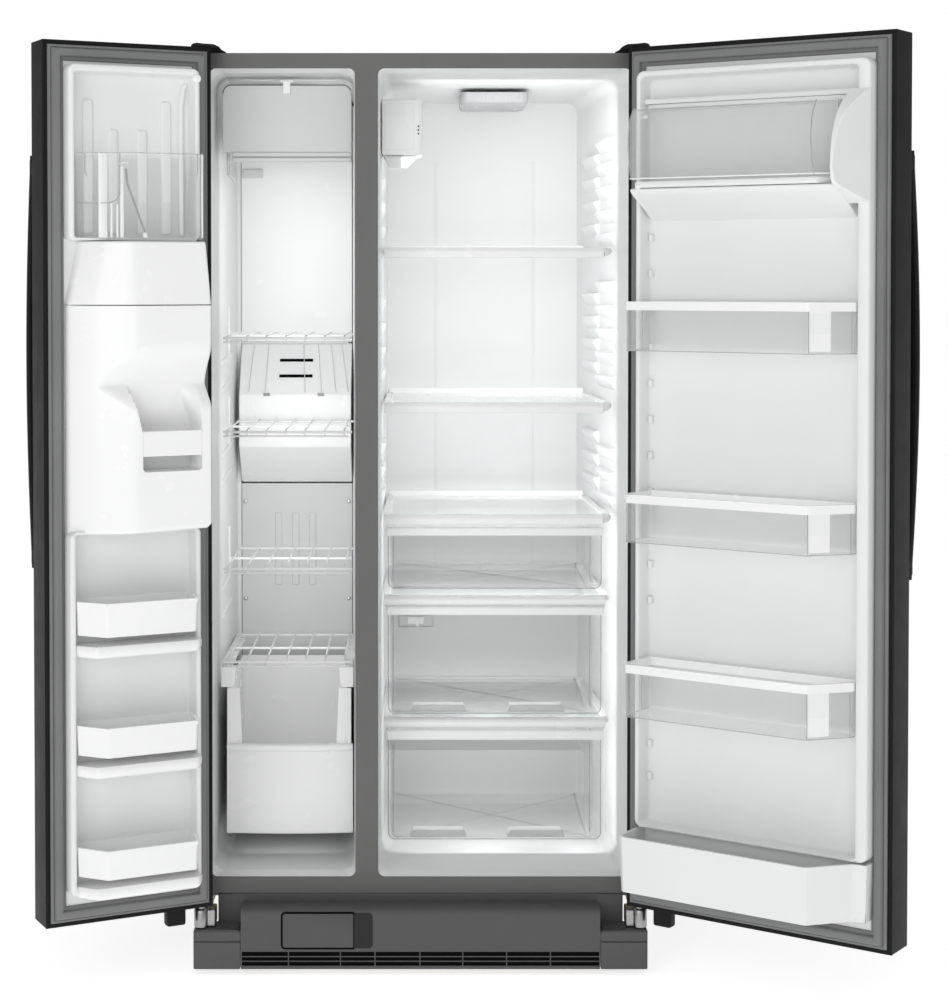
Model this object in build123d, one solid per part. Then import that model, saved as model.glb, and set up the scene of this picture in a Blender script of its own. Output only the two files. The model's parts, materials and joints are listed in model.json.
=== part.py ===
from build123d import *
import math
import os

# Side-by-side refrigerator with an ice and water dispenser in the freezer door.
# Millimetres. X runs across the front to the right, Y from the front to the back, Z up.
# The origin is on the floor, below the middle of the cabinet's front edge.

# --- driving dimensions -------------------------------------------------------------
CABINET_WIDTH = 830
CABINET_DEPTH = 720
CABINET_TOP = 1685
CABINET_BOTTOM = 26
SHEET = 1.5                      # cabinet steel
LINER = 2.0                      # thermoformed liner wall
OPENING_BOTTOM = 165
OPENING_TOP = 1657
FLANGE_WIDTH = 28
MULLION = (-120.4, -78.0)        # left and right edge of the centre post's face

DOOR_BOTTOM = 127
DOOR_TOP = 1689
DOOR_INNER_FACE = 26             # distance of the door's inner rim behind the hinge pin
DOOR_OUTER_FACE = -46            # and of its outer face in front of it
FREEZER_DOOR_WIDTH = 313.5
FRIDGE_DOOR_WIDTH = 512.5
DOOR_SHEET = 1.2
DOOR_HEM = 8.5
DOOR_CORNER = 24                 # outer corner radius: lets the doors swing past 150 degrees
GASKET_WIDTH = 28
GASKET_DEPTH = 13.8
FREEZER_OPEN_ANGLE = 153.35      # how far each door stands open at rest
FRIDGE_OPEN_ANGLE = 145.08

PIN_X = 402                      # hinge pins, either side of the middle
PIN_Y = -40.5
PIN_RADIUS = 5.0
PIN_FIT = 0.06                   # radial clearance of a turning fit

GRILLE_FRONT = -61
LINER_THROAT = 28                # depth of the liner's flared lip
LINER_BACK = 600
STEP_Y = 500                     # the liners step forward over the machine compartment
STEP_Z = 290
FREEZER_LIP = (-387, -120.4)
FREEZER_FRONT = (-386, -123)
FREEZER_REAR = (-374, -138)
FRIDGE_LIP = (-78, 387)
FRIDGE_FRONT = (-76, 386)
FRIDGE_REAR = (-70, 331)
FLOOR_FRONT, FLOOR_REAR = 170, 180
CEILING_FRONT, CEILING_REAR = 1651, 1642

SHELF_FRONT = 112                # fridge compartment shelves
SHELF_REAR = 500
SHELF_LEFT = -69
SHELF_RIGHT_FRONT = 359
SHELF_RIGHT_REAR = 334
SHELF_RAIL_BOTTOMS = (1311, 1017, 804)
SHELF_RAIL_HEIGHT = 20
GLASS = 4
DRAWER_LEFT, DRAWER_RIGHT = -58, 330
DRAWER_FRONT, DRAWER_BACK = 118, 480
DRAWER_WALL = 3
STRIP_LEFT, STRIP_RIGHT = -63, 346

FREEZER_WIRE_LEFT, FREEZER_WIRE_RIGHT = -371, -135.5
FREEZER_WIRE_FRONT, FREEZER_WIRE_REAR = 80, 394
FREEZER_WIRE_HEIGHTS = (1160, 983, 725, 549)
FREEZER_PANEL_Y = 472

os.makedirs("parts", exist_ok=True)


# --- small helpers --------------------------------------------------------------------
def block(x, y, z):
    """A box between two X, two Y and two Z values."""
    size = (x[1] - x[0], y[1] - y[0], z[1] - z[0])
    middle = (sum(x) / 2, sum(y) / 2, sum(z) / 2)
    return Pos(*middle) * Box(*size)


def rod(radius, start, end):
    """A round bar between two points."""
    start, end = Vector(*start), Vector(*end)
    axis = end - start
    return Plane(origin=start, z_dir=axis) * Cylinder(
        radius, axis.length, align=(Align.CENTER, Align.CENTER, Align.MIN)
    )


def slab(outline, z):
    """An upright prism: a plan outline of X, Y points between two heights."""
    face = make_face(Polyline(*outline, close=True))
    return Pos(0, 0, z[0]) * extrude(face, z[1] - z[0])


def profile_bar(outline, x):
    """A bar along X whose section is a list of Y, Z points."""
    face = make_face(Polyline(*[(x[0], y, z) for y, z in outline], close=True))
    return extrude(face, amount=x[1] - x[0], dir=(1, 0, 0))


def fuse(shapes):
    """One solid from touching shapes."""
    shapes = list(shapes)
    return shapes[0].fuse(*shapes[1:]) if len(shapes) > 1 else shapes[0]


def group(shapes):
    """Separate solids that share a node."""
    return Compound(children=[s for shape in shapes for s in shape.solids()])


def mirrored(shape):
    """The same piece on the other side of the middle."""
    return mirror(shape, about=Plane.YZ)


def upright_edges(shape):
    return shape.edges().filter_by(Axis.Z)


def inset(outline_x, outline_y, wall):
    return (outline_x[0] + wall, outline_x[1] - wall), (outline_y[0] + wall, outline_y[1] - wall)


def tray(x, y, z, wall, radius):
    """An open-topped box with rounded upright edges."""
    outer = block(x, y, z)
    outer = fillet(upright_edges(outer), radius)
    inner_x, inner_y = inset(x, y, wall)
    inner = block(inner_x, inner_y, (z[0] + wall, z[1] + 1))
    inner = fillet(upright_edges(inner), max(radius - wall, 1))
    return outer - inner


def section(x, z, y, radius, grow=0.0):
    """A rounded rectangle that faces the front, at depth y."""
    width, height = x[1] - x[0] + 2 * grow, z[1] - z[0] + 2 * grow
    place = Plane(origin=(sum(x) / 2, y, sum(z) / 2), x_dir=(1, 0, 0), z_dir=(0, 1, 0))
    return place * RectangleRounded(width, height, radius + grow)


# --- cabinet shell --------------------------------------------------------------------
HALF = CABINET_WIDTH / 2


def cabinet_wrapper():
    """Bent sheet: two sides and a top."""
    outer = block((-HALF, HALF), (0, CABINET_DEPTH), (CABINET_BOTTOM, CABINET_TOP))
    top_edges = outer.edges().filter_by(Axis.Y).sort_by(Axis.Z)[-2:]
    outer = fillet(top_edges, 4)
    inner = block(
        (-HALF + SHEET, HALF - SHEET),
        (-1, CABINET_DEPTH + 1),
        (CABINET_BOTTOM - 1, CABINET_TOP - SHEET),
    )
    top_inner = inner.edges().filter_by(Axis.Y).sort_by(Axis.Z)[-2:]
    return outer - fillet(top_inner, 2.5)


def front_flange():
    """The folded steel face that the gaskets close on, and the centre post's cover."""
    inside = HALF - SHEET
    plate = block((-inside, inside), (0, SHEET), (130, CABINET_TOP - SHEET))
    plate = fillet(plate.edges().filter_by(Axis.Y).sort_by(Axis.Z)[-2:], 2.5)
    openings = [
        block(FREEZER_LIP, (-1, SHEET + 1), (OPENING_BOTTOM, OPENING_TOP)),
        block(FRIDGE_LIP, (-1, SHEET + 1), (OPENING_BOTTOM, OPENING_TOP)),
    ]
    openings = [fillet(o.edges().filter_by(Axis.Y), 12) for o in openings]
    return plate - openings


def compartment(lip, front, rear, grow):
    """The space a liner encloses, or with grow its outside."""
    lip_section = section(lip, (OPENING_BOTTOM, OPENING_TOP), SHEET, 12, grow)
    front_section = section(front, (FLOOR_FRONT, CEILING_FRONT), LINER_THROAT, 22, grow)
    rear_section = section(rear, (FLOOR_REAR, CEILING_REAR), LINER_BACK + grow, 22, grow)
    throat = loft([lip_section, front_section], ruled=True)
    room = loft([front_section, rear_section], ruled=True)
    step = block((-HALF, HALF), (STEP_Y + grow, LINER_BACK + 20), (0, STEP_Z - grow))
    return throat + room - step


def liner(lip, front, rear):
    """Thermoformed inner box of one compartment, open at the front."""
    outer = compartment(lip, front, rear, LINER)
    inner = compartment(lip, front, rear, 0)
    return outer - inner


def wall_points(lip, front, rear, depth):
    """Plan points of a liner wall's outside, from the lip back to a depth."""
    share = (depth - LINER_THROAT) / (LINER_BACK - LINER_THROAT)
    return [(lip, SHEET + 0.3), (front, LINER_THROAT), (front + share * (rear - front), depth)]


def insulation():
    """Convex foam slabs that fill the space between the steel wrapper and the two liners."""
    inside = HALF - SHEET - 0.3
    gap = LINER + 0.3
    front, back = SHEET + 0.3, CABINET_DEPTH - SHEET - 0.3
    slabs = []
    for z, depth in (((182, STEP_Z), STEP_Y), ((STEP_Z, 1640), LINER_BACK)):
        left = wall_points(FREEZER_LIP[0] - gap, FREEZER_FRONT[0] - gap, FREEZER_REAR[0] - gap, depth)
        slabs.append(slab(left + [(-inside, depth), (-inside, front)], z))
        right = wall_points(FRIDGE_LIP[1] + gap, FRIDGE_FRONT[1] + gap, FRIDGE_REAR[1] + gap, depth)
        slabs.append(slab(right + [(inside, depth), (inside, front)], z))
        post_left = wall_points(FREEZER_LIP[1] + gap, FREEZER_FRONT[1] + gap, FREEZER_REAR[1] + gap, depth)
        post_right = wall_points(FRIDGE_LIP[0] - gap, FRIDGE_FRONT[0] - gap, FRIDGE_REAR[0] - gap, depth)
        slabs.append(slab(post_left + post_right[::-1], z))
    width = (-inside, inside)
    roof = CABINET_TOP - SHEET - 0.3
    ceiling = [(front, OPENING_TOP + gap), (LINER_THROAT, CEILING_FRONT + gap), (LINER_BACK, CEILING_REAR + gap)]
    ceiling += [(back, CEILING_REAR + gap), (back, roof), (front, roof)]
    slabs.append(profile_bar(ceiling, (-inside + 1.6, inside - 1.6)))
    floor_at_step = FLOOR_FRONT + (FLOOR_REAR - FLOOR_FRONT) * STEP_Y / LINER_BACK
    floor = [(front, OPENING_BOTTOM - gap), (LINER_THROAT, FLOOR_FRONT - gap), (STEP_Y, floor_at_step - gap)]
    slabs.append(profile_bar(floor + [(STEP_Y, 130), (front, 130)], width))
    slabs.append(block(width, (LINER_BACK + 2 * gap, back), (STEP_Z, 1640)))
    slabs.append(block(width, (STEP_Y + gap, back), (252, STEP_Z - gap)))
    slabs.append(block(width, (STEP_Y + gap, STEP_Y + 22), (130, 251.7)))
    return group(slabs)


def back_panel():
    inside = HALF - SHEET - 1
    return block((-inside, inside), (CABINET_DEPTH - SHEET, CABINET_DEPTH), (250, CABINET_TOP - SHEET - 1))


ROLLER_X = 352
ROLLER_Y = (96, 640)
ROLLER_RADIUS = 22
ROLLER_WIDTH = 20
AXLE_RADIUS = 5
FRONT_ROLLER_LIFT = 0.6          # the front rollers hang just off the floor behind the feet
FOOT_X, FOOT_Y = 352, 34


def base_frame():
    """Steel chassis: cross rail, side rails, roller brackets and the tray under the compressor."""
    rail_z = (26, 40)
    parts = [block((-345, 345), (2, 46), (11, 29))]
    parts.append(block((-385, 385), (505, CABINET_DEPTH - 2), (26, 28)))
    for side in (-1, 1):
        rail_x = sorted((side * 320, side * 385))
        parts.append(block(rail_x, (2, CABINET_DEPTH - 2), rail_z))
        for y in ROLLER_Y:
            for cheek in (-1, 1):
                x = side * ROLLER_X + cheek * (ROLLER_WIDTH / 2 + 5.5)
                parts.append(block((x - 1.5, x + 1.5), (y - 14, y + 14), (10, 40)))
    frame = fuse(parts)
    for side in (-1, 1):
        for y, lift in zip(ROLLER_Y, (FRONT_ROLLER_LIFT, 0)):
            centre = (side * ROLLER_X, y, ROLLER_RADIUS + lift)
            frame -= rod(AXLE_RADIUS + PIN_FIT, (centre[0] - 25, y, centre[2]), (centre[0] + 25, y, centre[2]))
            frame -= Pos(side * ROLLER_X, y, 33) * Box(ROLLER_WIDTH + 8, 2 * ROLLER_RADIUS + 8, 40)
        frame -= rod(8.1, (side * FOOT_X, FOOT_Y, 5), (side * FOOT_X, FOOT_Y, 60))
    return frame


def rollers(y, lift):
    """A pair of rollers, each fixed to its own short axle."""
    pair = []
    for side in (-1, 1):
        centre = side * ROLLER_X
        z = ROLLER_RADIUS + lift
        half = ROLLER_WIDTH / 2
        tyre = rod(ROLLER_RADIUS, (centre - half, y, z), (centre + half, y, z))
        tyre = chamfer(tyre.edges().filter_by(GeomType.CIRCLE), 1.5)
        axle = rod(AXLE_RADIUS, (centre - half - 9, y, z), (centre + half + 9, y, z))
        pair.append(tyre + axle)
    return group(pair)


def levelling_legs():
    legs = []
    for side in (-1, 1):
        foot = Pos(side * FOOT_X, FOOT_Y, 4) * Cylinder(17, 8)
        stud = rod(8, (side * FOOT_X, FOOT_Y, 7), (side * FOOT_X, FOOT_Y, 58))
        legs.append(foot + stud)
    return group(legs)


def compressor_cover():
    """Board that closes the machine compartment, with rows of air slots."""
    board = block((-405, 405), (CABINET_DEPTH - SHEET, CABINET_DEPTH), (34, 248))
    for row in range(6):
        for column in range(-4, 5):
            slot = Pos(column * 80, CABINET_DEPTH, 70 + row * 28) * Box(56, 8, 7)
            board -= fillet(slot.edges().filter_by(Axis.Y), 3)
    return board - block((-368, -336), (CABINET_DEPTH - 5, CABINET_DEPTH + 5), (148, 192))


COMPRESSOR_CENTRE = (230, 622)


def compressor():
    """Hermetic shell on four feet, with a terminal box and a pipe stub."""
    can = Pos(0, 0, 118) * Cylinder(72, 130)
    can = fillet(can.edges().filter_by(GeomType.CIRCLE), 34)
    plate = Pos(0, 0, 48) * Box(170, 130, 4)
    plate = fillet(upright_edges(plate), 12)
    neck = Pos(0, 0, 55) * Cylinder(40, 16)
    feet = [Pos(dx, dy, 37.3) * Cylinder(12, 18) for dx in (-70, 70) for dy in (-50, 50)]
    terminals = Pos(-80, 0, 120) * Box(36, 50, 60)
    stub = rod(4, (20, -30, 170), (20, -30, 215))
    return Pos(*COMPRESSOR_CENTRE, 0) * fuse([can, plate, neck, terminals, stub] + feet)


FINS = 14
FIN_THICK = 1.2
COIL_TUBE_RADIUS = 4
TUBE_OVERHANG = 10


def fin_block(x, y, z, tubes_y, tubes_z):
    """Finned coil: thin plates threaded on tubes that run along X, joined by bends at both ends."""
    pitch = (x[1] - x[0] - FIN_THICK) / (FINS - 1)
    starts = [x[0] + i * pitch for i in range(FINS)]
    parts = [block((start, start + FIN_THICK), y, z) for start in starts]
    ends = (x[0] - TUBE_OVERHANG, x[1] + TUBE_OVERHANG)
    for ty in tubes_y:
        for tz in tubes_z:
            parts.append(rod(COIL_TUBE_RADIUS, (ends[0], ty, tz), (ends[1], ty, tz)))
    for tx in ends:
        for ty in tubes_y:
            parts.append(rod(COIL_TUBE_RADIUS, (tx, ty, tubes_z[0]), (tx, ty, tubes_z[-1])))
        parts.append(rod(COIL_TUBE_RADIUS, (tx, tubes_y[0], tubes_z[0]), (tx, tubes_y[-1], tubes_z[0])))
    return fuse(parts)


def condenser():
    """Heat outlet beside the compressor."""
    return fin_block((-330, -150), (560, 680), (60, 200), (590, 650), (80, 115, 150, 185))


def evaporator():
    """Cold coil behind the freezer's lower panel."""
    return fin_block((-350, -165), (505, 575), (640, 900), (525, 555), (670, 740, 810, 880))


CONDENSER_FAN = (-40, 610, 130)
EVAPORATOR_FAN = (-256, 500, 982)


def fan_motors():
    """Both fan motors, each on a bracket that reaches its mounting surface."""
    x, y, z = CONDENSER_FAN
    condenser_motor = rod(22, (x + 28, y, z), (x + 68, y, z))
    spindle = rod(3, (x - 8, y, z), (x + 30, y, z))
    post = block((x + 44, x + 52), (y - 20, y + 20), (28.3, z))
    x2, y2, z2 = EVAPORATOR_FAN
    evaporator_motor = rod(20, (x2, y2 + 30, z2), (x2, y2 + 62, z2))
    spindle2 = rod(3, (x2, y2 - 8, z2), (x2, y2 + 32, z2))
    bracket = block((x2 - 70, x2 + 70), (y2 + 42, y2 + 46), (z2 - 12, z2 + 12))
    return group([fuse([condenser_motor, spindle, post]), fuse([evaporator_motor, spindle2, bracket])])


def fan(centre, axis, radius):
    """Hub with five pitched blades, bored for its spindle."""
    hub = Cylinder(14, 14) - Cylinder(3 + PIN_FIT, 20)
    blades = []
    for i in range(5):
        blade = Pos((radius + 12) / 2, 0, 0) * Rot(28, 0, 0) * Box(radius - 12, radius * 0.55, 1.6)
        blades.append(Rot(0, 0, 72 * i) * blade)
    wheel = fuse([hub] + [b - Cylinder(13, 40) for b in blades])
    return Plane(origin=centre, z_dir=axis) * wheel


# --- freezer compartment --------------------------------------------------------------
PANEL_X = (-368, -141)
DUCT_FACE = 400                  # depth of the duct cover's upright face
DUCT_HEIGHTS = (852, 931, 1036, 1140)   # foot, sill, brow and top of the duct cover
SHEET_MOULDED = 3                # wall of the moulded covers


def freezer_upper_panel():
    """White panel behind the upper shelves, with a shallow raised field."""
    y = FREEZER_PANEL_Y
    panel = block(PANEL_X, (y, y + 3), (1142, 1630))
    return panel + block((-350, -160), (y - 3, y + 0.5), (1175, 1500))


def evaporator_cover():
    """Air duct cover: ribbed slope with two outlet slots, upright face, slope back to the wall."""
    wall = SHEET_MOULDED
    back = FREEZER_PANEL_Y + wall
    foot, sill, brow, top = DUCT_HEIGHTS
    outer = profile_bar([(back, top), (DUCT_FACE, brow), (DUCT_FACE, sill), (back, foot)], PANEL_X)
    inner = profile_bar(
        [(back + 1, top - 4), (DUCT_FACE + wall, brow - 2), (DUCT_FACE + wall, sill + 2), (back + 1, foot + 4)],
        (PANEL_X[0] + wall, PANEL_X[1] - wall),
    )
    cover = outer - inner
    middle = sum(PANEL_X) / 2
    rise, run = top - brow, back - DUCT_FACE
    slope = math.degrees(math.atan2(rise, run))
    for share in (0.3, 0.62):
        cover -= Pos(middle, DUCT_FACE + share * run, brow + share * rise) * Rot(slope, 0, 0) * Box(70, 12, 20)
    for dx in (-90, -60, 60, 90):
        cover += Pos(middle + dx, DUCT_FACE + 34, brow + 48) * Rot(slope, 0, 0) * Box(4, 110, 6)
    return cover


def freezer_lower_panel():
    y = FREEZER_PANEL_Y
    panel = block(PANEL_X, (y, y + 3), (186, 850))
    for i in range(3):
        panel += block((-300 + i * 35, -285 + i * 35), (y - 3, y + 0.5), (640, 790))
    return panel


def panel_screws():
    """Pan-head screws that hold the lower freezer panel."""
    screws = []
    for x in (-361, -148):
        for z in (813, 612):
            head = Pos(x, FREEZER_PANEL_Y - 1.5, z) * Rot(90, 0, 0) * Cylinder(4.5, 2.6)
            slot = Pos(x, FREEZER_PANEL_Y - 3, z) * Box(6, 1.4, 1.2)
            screws.append(head - slot)
    return group(screws)


MOULD_X, MOULD_Y = (-345, -215), (120, 440)
CUBES = 7
ARM_X = -363
ARM_PIVOT = (108, 1545)          # y, z
ARM_RADIUS = 2.5


def ice_maker():
    """Mould with cube pockets, control head and mounting rail."""
    mould = block(MOULD_X, MOULD_Y, (1515, 1560))
    pitch = (MOULD_Y[1] - MOULD_Y[0] - 56) / (CUBES - 1)
    for i in range(CUBES):
        mould -= Pos(sum(MOULD_X) / 2, MOULD_Y[0] + 28 + i * pitch, 1570) * Rot(0, 90, 0) * Cylinder(19, 96)
    head = block((-352, -205), (96, MOULD_Y[0] + 1), (1500, 1600))
    head = fillet(head.edges().filter_by(Axis.Y), 8)
    bearing = rod(6, (-358, *ARM_PIVOT), (-350, *ARM_PIVOT))
    rail = block(MOULD_X, MOULD_Y, (1585, 1590)) + block((MOULD_X[0], MOULD_X[0] + 5), MOULD_Y, (1555, 1588))
    bore = rod(ARM_RADIUS + PIN_FIT, (-360, *ARM_PIVOT), (-349.5, *ARM_PIVOT))
    return fuse([mould, head, rail, bearing]) - bore


def ice_maker_arm():
    """Bent-wire feeler that turns the ice maker off when its bin is full."""
    path = [(-350, *ARM_PIVOT), (ARM_X, *ARM_PIVOT), (ARM_X, 122, 1468), (ARM_X, 260, 1462)]
    bars = [rod(ARM_RADIUS, start, end) for start, end in zip(path[:-1], path[1:])]
    bends = [Pos(*point) * Sphere(ARM_RADIUS) for point in path[1:-1]]
    return fuse(bars + bends)


def ice_maker_shield():
    """Front shield with rounded top corners, clip and stiffened lower edge."""
    y = (78, 81)
    plate = block((-370, -129), y, (1508, 1634))
    plate = fillet(plate.edges().filter_by(Axis.Y).sort_by(Axis.Z)[-2:], 16)
    lower = block((-352, -129), (76, 92), (1490, 1508))
    clip = block((-256, -244), (74, 81), (1618, 1642)) + block((-262, -238), (74, 86), (1638, 1643))
    hangers = [block((x, x + 4), (80, 95.8), (1560, 1600)) for x in (-340, -220)]
    return fuse([plate, lower, clip] + hangers)


def wire_shelf(z):
    """Welded shelf: front, middle and rear cross rods with lengthwise rods on top."""
    left, right = FREEZER_WIRE_LEFT, FREEZER_WIRE_RIGHT
    front, rear = FREEZER_WIRE_FRONT, FREEZER_WIRE_REAR
    parts = [
        rod(4, (left, front + 4, z), (right + 7, front + 4, z)),
        rod(3, (left, (front + rear) / 2, z), (right, (front + rear) / 2, z)),
        rod(3, (left, rear - 3, z), (right, rear - 3, z)),
    ]
    count = 7
    pitch = (right - left - 12) / (count - 1)
    for i in range(count):
        x = left + 6 + i * pitch
        parts.append(rod(2.2, (x, front + 4, z + 4.4), (x, rear - 1, z + 4.4)))
    return fuse(parts)


FREEZER_BIN_X = (-366, -139)


def bowed_front(x, y_ends, y_middle, y_back):
    """Plan face of a front panel that bows towards the front."""
    bow = ThreePointArc((x[0], y_ends), (sum(x) / 2, y_middle), (x[1], y_ends))
    back = Polyline((x[1], y_ends), (x[1], y_back), (x[0], y_back), (x[0], y_ends))
    return make_face([bow, back])


def freezer_bin():
    """Sliding bin: tall sides, low bowed front with a thicker rim."""
    x, y, z = FREEZER_BIN_X, (92, 440), (222, 500)
    rim_height = 392
    body = tray(x, y, z, DRAWER_WALL, 10)
    body -= block((x[0] + 12, x[1] - 12), (0, 100), (rim_height, 520))
    front_x = (x[0], x[1] + 11)
    front = extrude(bowed_front(front_x, 92, 84, 97), rim_height - z[0])
    rim = extrude(bowed_front(front_x, 88, 79, 97), 12)
    return body + Pos(0, 0, z[0]) * front + Pos(0, 0, rim_height - 12) * rim


# --- fridge compartment ---------------------------------------------------------------
def shelf_outline(inset_by=0.0, front=SHELF_FRONT, rear=SHELF_REAR):
    return [
        (SHELF_LEFT + inset_by, front + inset_by),
        (SHELF_RIGHT_FRONT - inset_by, front + inset_by),
        (SHELF_RIGHT_REAR - inset_by, rear - inset_by),
        (SHELF_LEFT + inset_by, rear - inset_by),
    ]


def shelf_frame(z, height=SHELF_RAIL_HEIGHT):
    """Moulded rim that holds a glass pane: deep front rail, thinner sides, raised rear lip."""
    rim = slab(shelf_outline(), (z, z + height)) - slab(shelf_outline(14), (z - 1, z + height - GLASS - 2))
    rim -= slab(shelf_outline(10), (z + height - GLASS - 2.2, z + height + 1))
    rim -= slab(shelf_outline(13.8), (z - 1, z + height))
    sides = block((SHELF_LEFT - 5, SHELF_RIGHT_FRONT + 5), (SHELF_FRONT + 22, SHELF_REAR + 5), (z - 1, z + 6))
    rim -= sides
    lip = block((SHELF_LEFT, SHELF_RIGHT_REAR), (SHELF_REAR - 8, SHELF_REAR), (z + height - 1, z + height + 9))
    return rim + lip


def shelf_pane(z, height=SHELF_RAIL_HEIGHT):
    """Tempered glass pane that drops into the rim."""
    top = z + height - 1.6
    return slab(shelf_outline(10.3), (top - GLASS, top))


CRISPER_COVERS = (650, 417)      # bottom heights of the two drawer covers
CRISPER_COVER_HEIGHT = 19


def drawer(z_floor, z_strip, strip_height, back=DRAWER_BACK):
    """Clear drawer with a white grip strip along its front."""
    body = tray((DRAWER_LEFT, DRAWER_RIGHT), (DRAWER_FRONT, back), (z_floor, z_strip + 2), DRAWER_WALL, 14)
    strip = block((STRIP_LEFT, STRIP_RIGHT), (DRAWER_FRONT - 10, DRAWER_FRONT + 3), (z_strip, z_strip + strip_height))
    strip = fillet(strip.edges().filter_by(Axis.X).sort_by(Axis.Y)[:2], 3)
    return body + strip


SLIDER_Z = (612, 630)


def humidity_slider():
    """Sliding shutter tab that opens the upper drawer's air vent."""
    plate = block((-24, 6), (DRAWER_FRONT - 4, DRAWER_FRONT - 0.4), (SLIDER_Z[0] + 4, SLIDER_Z[1] - 1))
    tab = block((-8, -3), (DRAWER_FRONT - 8, DRAWER_FRONT - 3), (SLIDER_Z[0], SLIDER_Z[1] - 3))
    return plate + fillet(tab.edges().filter_by(Axis.Y), 1)


def upper_crisper():
    """Upper drawer, with the channel for the humidity slider under its grip strip."""
    body = drawer(444, 633, 16)
    channel = block((-42, 24), (DRAWER_FRONT - 5.5, DRAWER_FRONT + 1), (SLIDER_Z[0] - 2, SLIDER_Z[1] + 3.5))
    channel -= block((-40, 22), (DRAWER_FRONT - 4.4, DRAWER_FRONT), (SLIDER_Z[0] + 3, SLIDER_Z[1] - 0.4))
    channel -= block((-40, 22), (DRAWER_FRONT - 9, DRAWER_FRONT - 3), (SLIDER_Z[0] - 3, SLIDER_Z[1] - 1.5))
    return body + channel


def control_box():
    """Temperature control housing on the centre wall, with three indicator holes."""
    box = block((-73.5, 4), (112, 260), (1506, 1610))
    box = fillet(box.edges().filter_by(Axis.Y).sort_by(Axis.X)[-2:], 10)
    box = fillet(box.edges().filter_by(Axis.Z).sort_by(Axis.Y)[:1], 4)
    for i in range(3):
        box -= Pos(-2, 112, 1558 - i * 7) * Rot(90, 0, 0) * Cylinder(1.4, 6)
    return box


def light_lens():
    """Translucent ceiling lens over the lamp."""
    outer = block((80, 213), (290, 525), (1618, 1639))
    outer = fillet(outer.edges().filter_by(Axis.Z), 14)
    outer = fillet(outer.edges().group_by(Axis.Z)[0], 6)
    return outer - block((84, 209), (294, 521), (1622, 1641))


# --- base grille ----------------------------------------------------------------------
COVER_X = (-251.6, -122.4)
COVER_Z = (51.2, 113.6)
COVER_THICK = 3
COVER_PIN = (-249.9, GRILLE_FRONT + COVER_THICK / 2)
VENT_Z = (18, 43.5)
VENT_BARS_X = (-241, -146, -83, -1, 77, 157, 237)


def base_grille():
    """Moulded toe grille: corner blocks, raised centre panel, vent row and filter door frame."""
    corner = block((-415, -328), (GRILLE_FRONT, -0.5), (11.6, 83))
    corner = fillet(corner.edges().filter_by(Axis.Z).sort_by(Axis.X)[:1], 3)
    hollow = block((-412, -326), (GRILLE_FRONT + 3, 1), (10, 80))
    corner -= hollow
    centre = block((-329, 329), (GRILLE_FRONT, -0.5), (11.6, 121))
    centre -= block((-326, 326), (GRILLE_FRONT + 3, 1), (10, 118))
    upper = block((-374, 374), (-6, -0.5), (64, 129)) + block((-374, 374), (-12, -0.5), (64, 68))
    upper -= block((-326, 326), (-20, 5), (60, 117))
    grille = fuse([corner, mirrored(corner), centre, upper])
    opening = block((-252.6, -121.6), (GRILLE_FRONT - 1, GRILLE_FRONT + 5), (50.6, 114.2))
    opening = fillet(opening.edges().filter_by(Axis.Y).sort_by(Axis.X)[:2], 1.5)
    recess = block((-124, -86), (GRILLE_FRONT - 1, GRILLE_FRONT + 5), (53, 112))
    grille -= fillet(recess.edges().filter_by(Axis.Y).sort_by(Axis.X)[-2:], 8)
    grille -= opening
    scoop = block((-121.3, -84), (GRILLE_FRONT + 3, GRILLE_FRONT + 16), (51, 114))
    scoop -= block((-122, -86), (GRILLE_FRONT, GRILLE_FRONT + 14), (53, 112))
    grille += scoop
    vent = block((-326, 326), (GRILLE_FRONT - 1, GRILLE_FRONT + 5), VENT_Z)
    grille -= vent
    bar_y = (GRILLE_FRONT + 0.6, GRILLE_FRONT + 3)
    for i in (1, 2):
        z = VENT_Z[0] + i * (VENT_Z[1] - VENT_Z[0]) / 3
        grille += block((-329, 329), bar_y, (z - 0.8, z + 0.8))
    for x in VENT_BARS_X:
        grille += block((x - 0.9, x + 0.9), bar_y, (VENT_Z[0] - 1, VENT_Z[1] + 1))
    grille -= rod(0.8, (*COVER_PIN, COVER_Z[0] - 4), (*COVER_PIN, COVER_Z[1] + 4))
    return grille


def filter_cover():
    """Small door over the water filter, turning on two moulded pins at its left edge."""
    cover = block(COVER_X, (GRILLE_FRONT, GRILLE_FRONT + COVER_THICK), COVER_Z)
    cover = fillet(cover.edges().filter_by(Axis.Y).sort_by(Axis.X)[:2], 4)
    pin = rod(0.74, (*COVER_PIN, COVER_Z[0] - 3), (*COVER_PIN, COVER_Z[1] + 3))
    return cover + pin


def water_filter():
    """Cartridge that pushes in behind the filter door, with a turning grip on its end."""
    x, z = -187, 82
    body = rod(25, (x, -38, z), (x, 230, z))
    grip = block((x - 4, x + 4), (-50, -36), (z - 20, z + 20))
    return body + grip


# --- hinges ---------------------------------------------------------------------------
def top_hinge():
    """Plate bolted to the cabinet top, with the pin that drops into the door."""
    plate = block((-412, -362), (-52, 56), (1690.6, 1694))
    foot = block((-412, -362), (4, 56), (CABINET_TOP, 1691))
    pin = rod(PIN_RADIUS, (-PIN_X, PIN_Y, 1673), (-PIN_X, PIN_Y, 1692))
    return fuse([plate, foot, pin])


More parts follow.
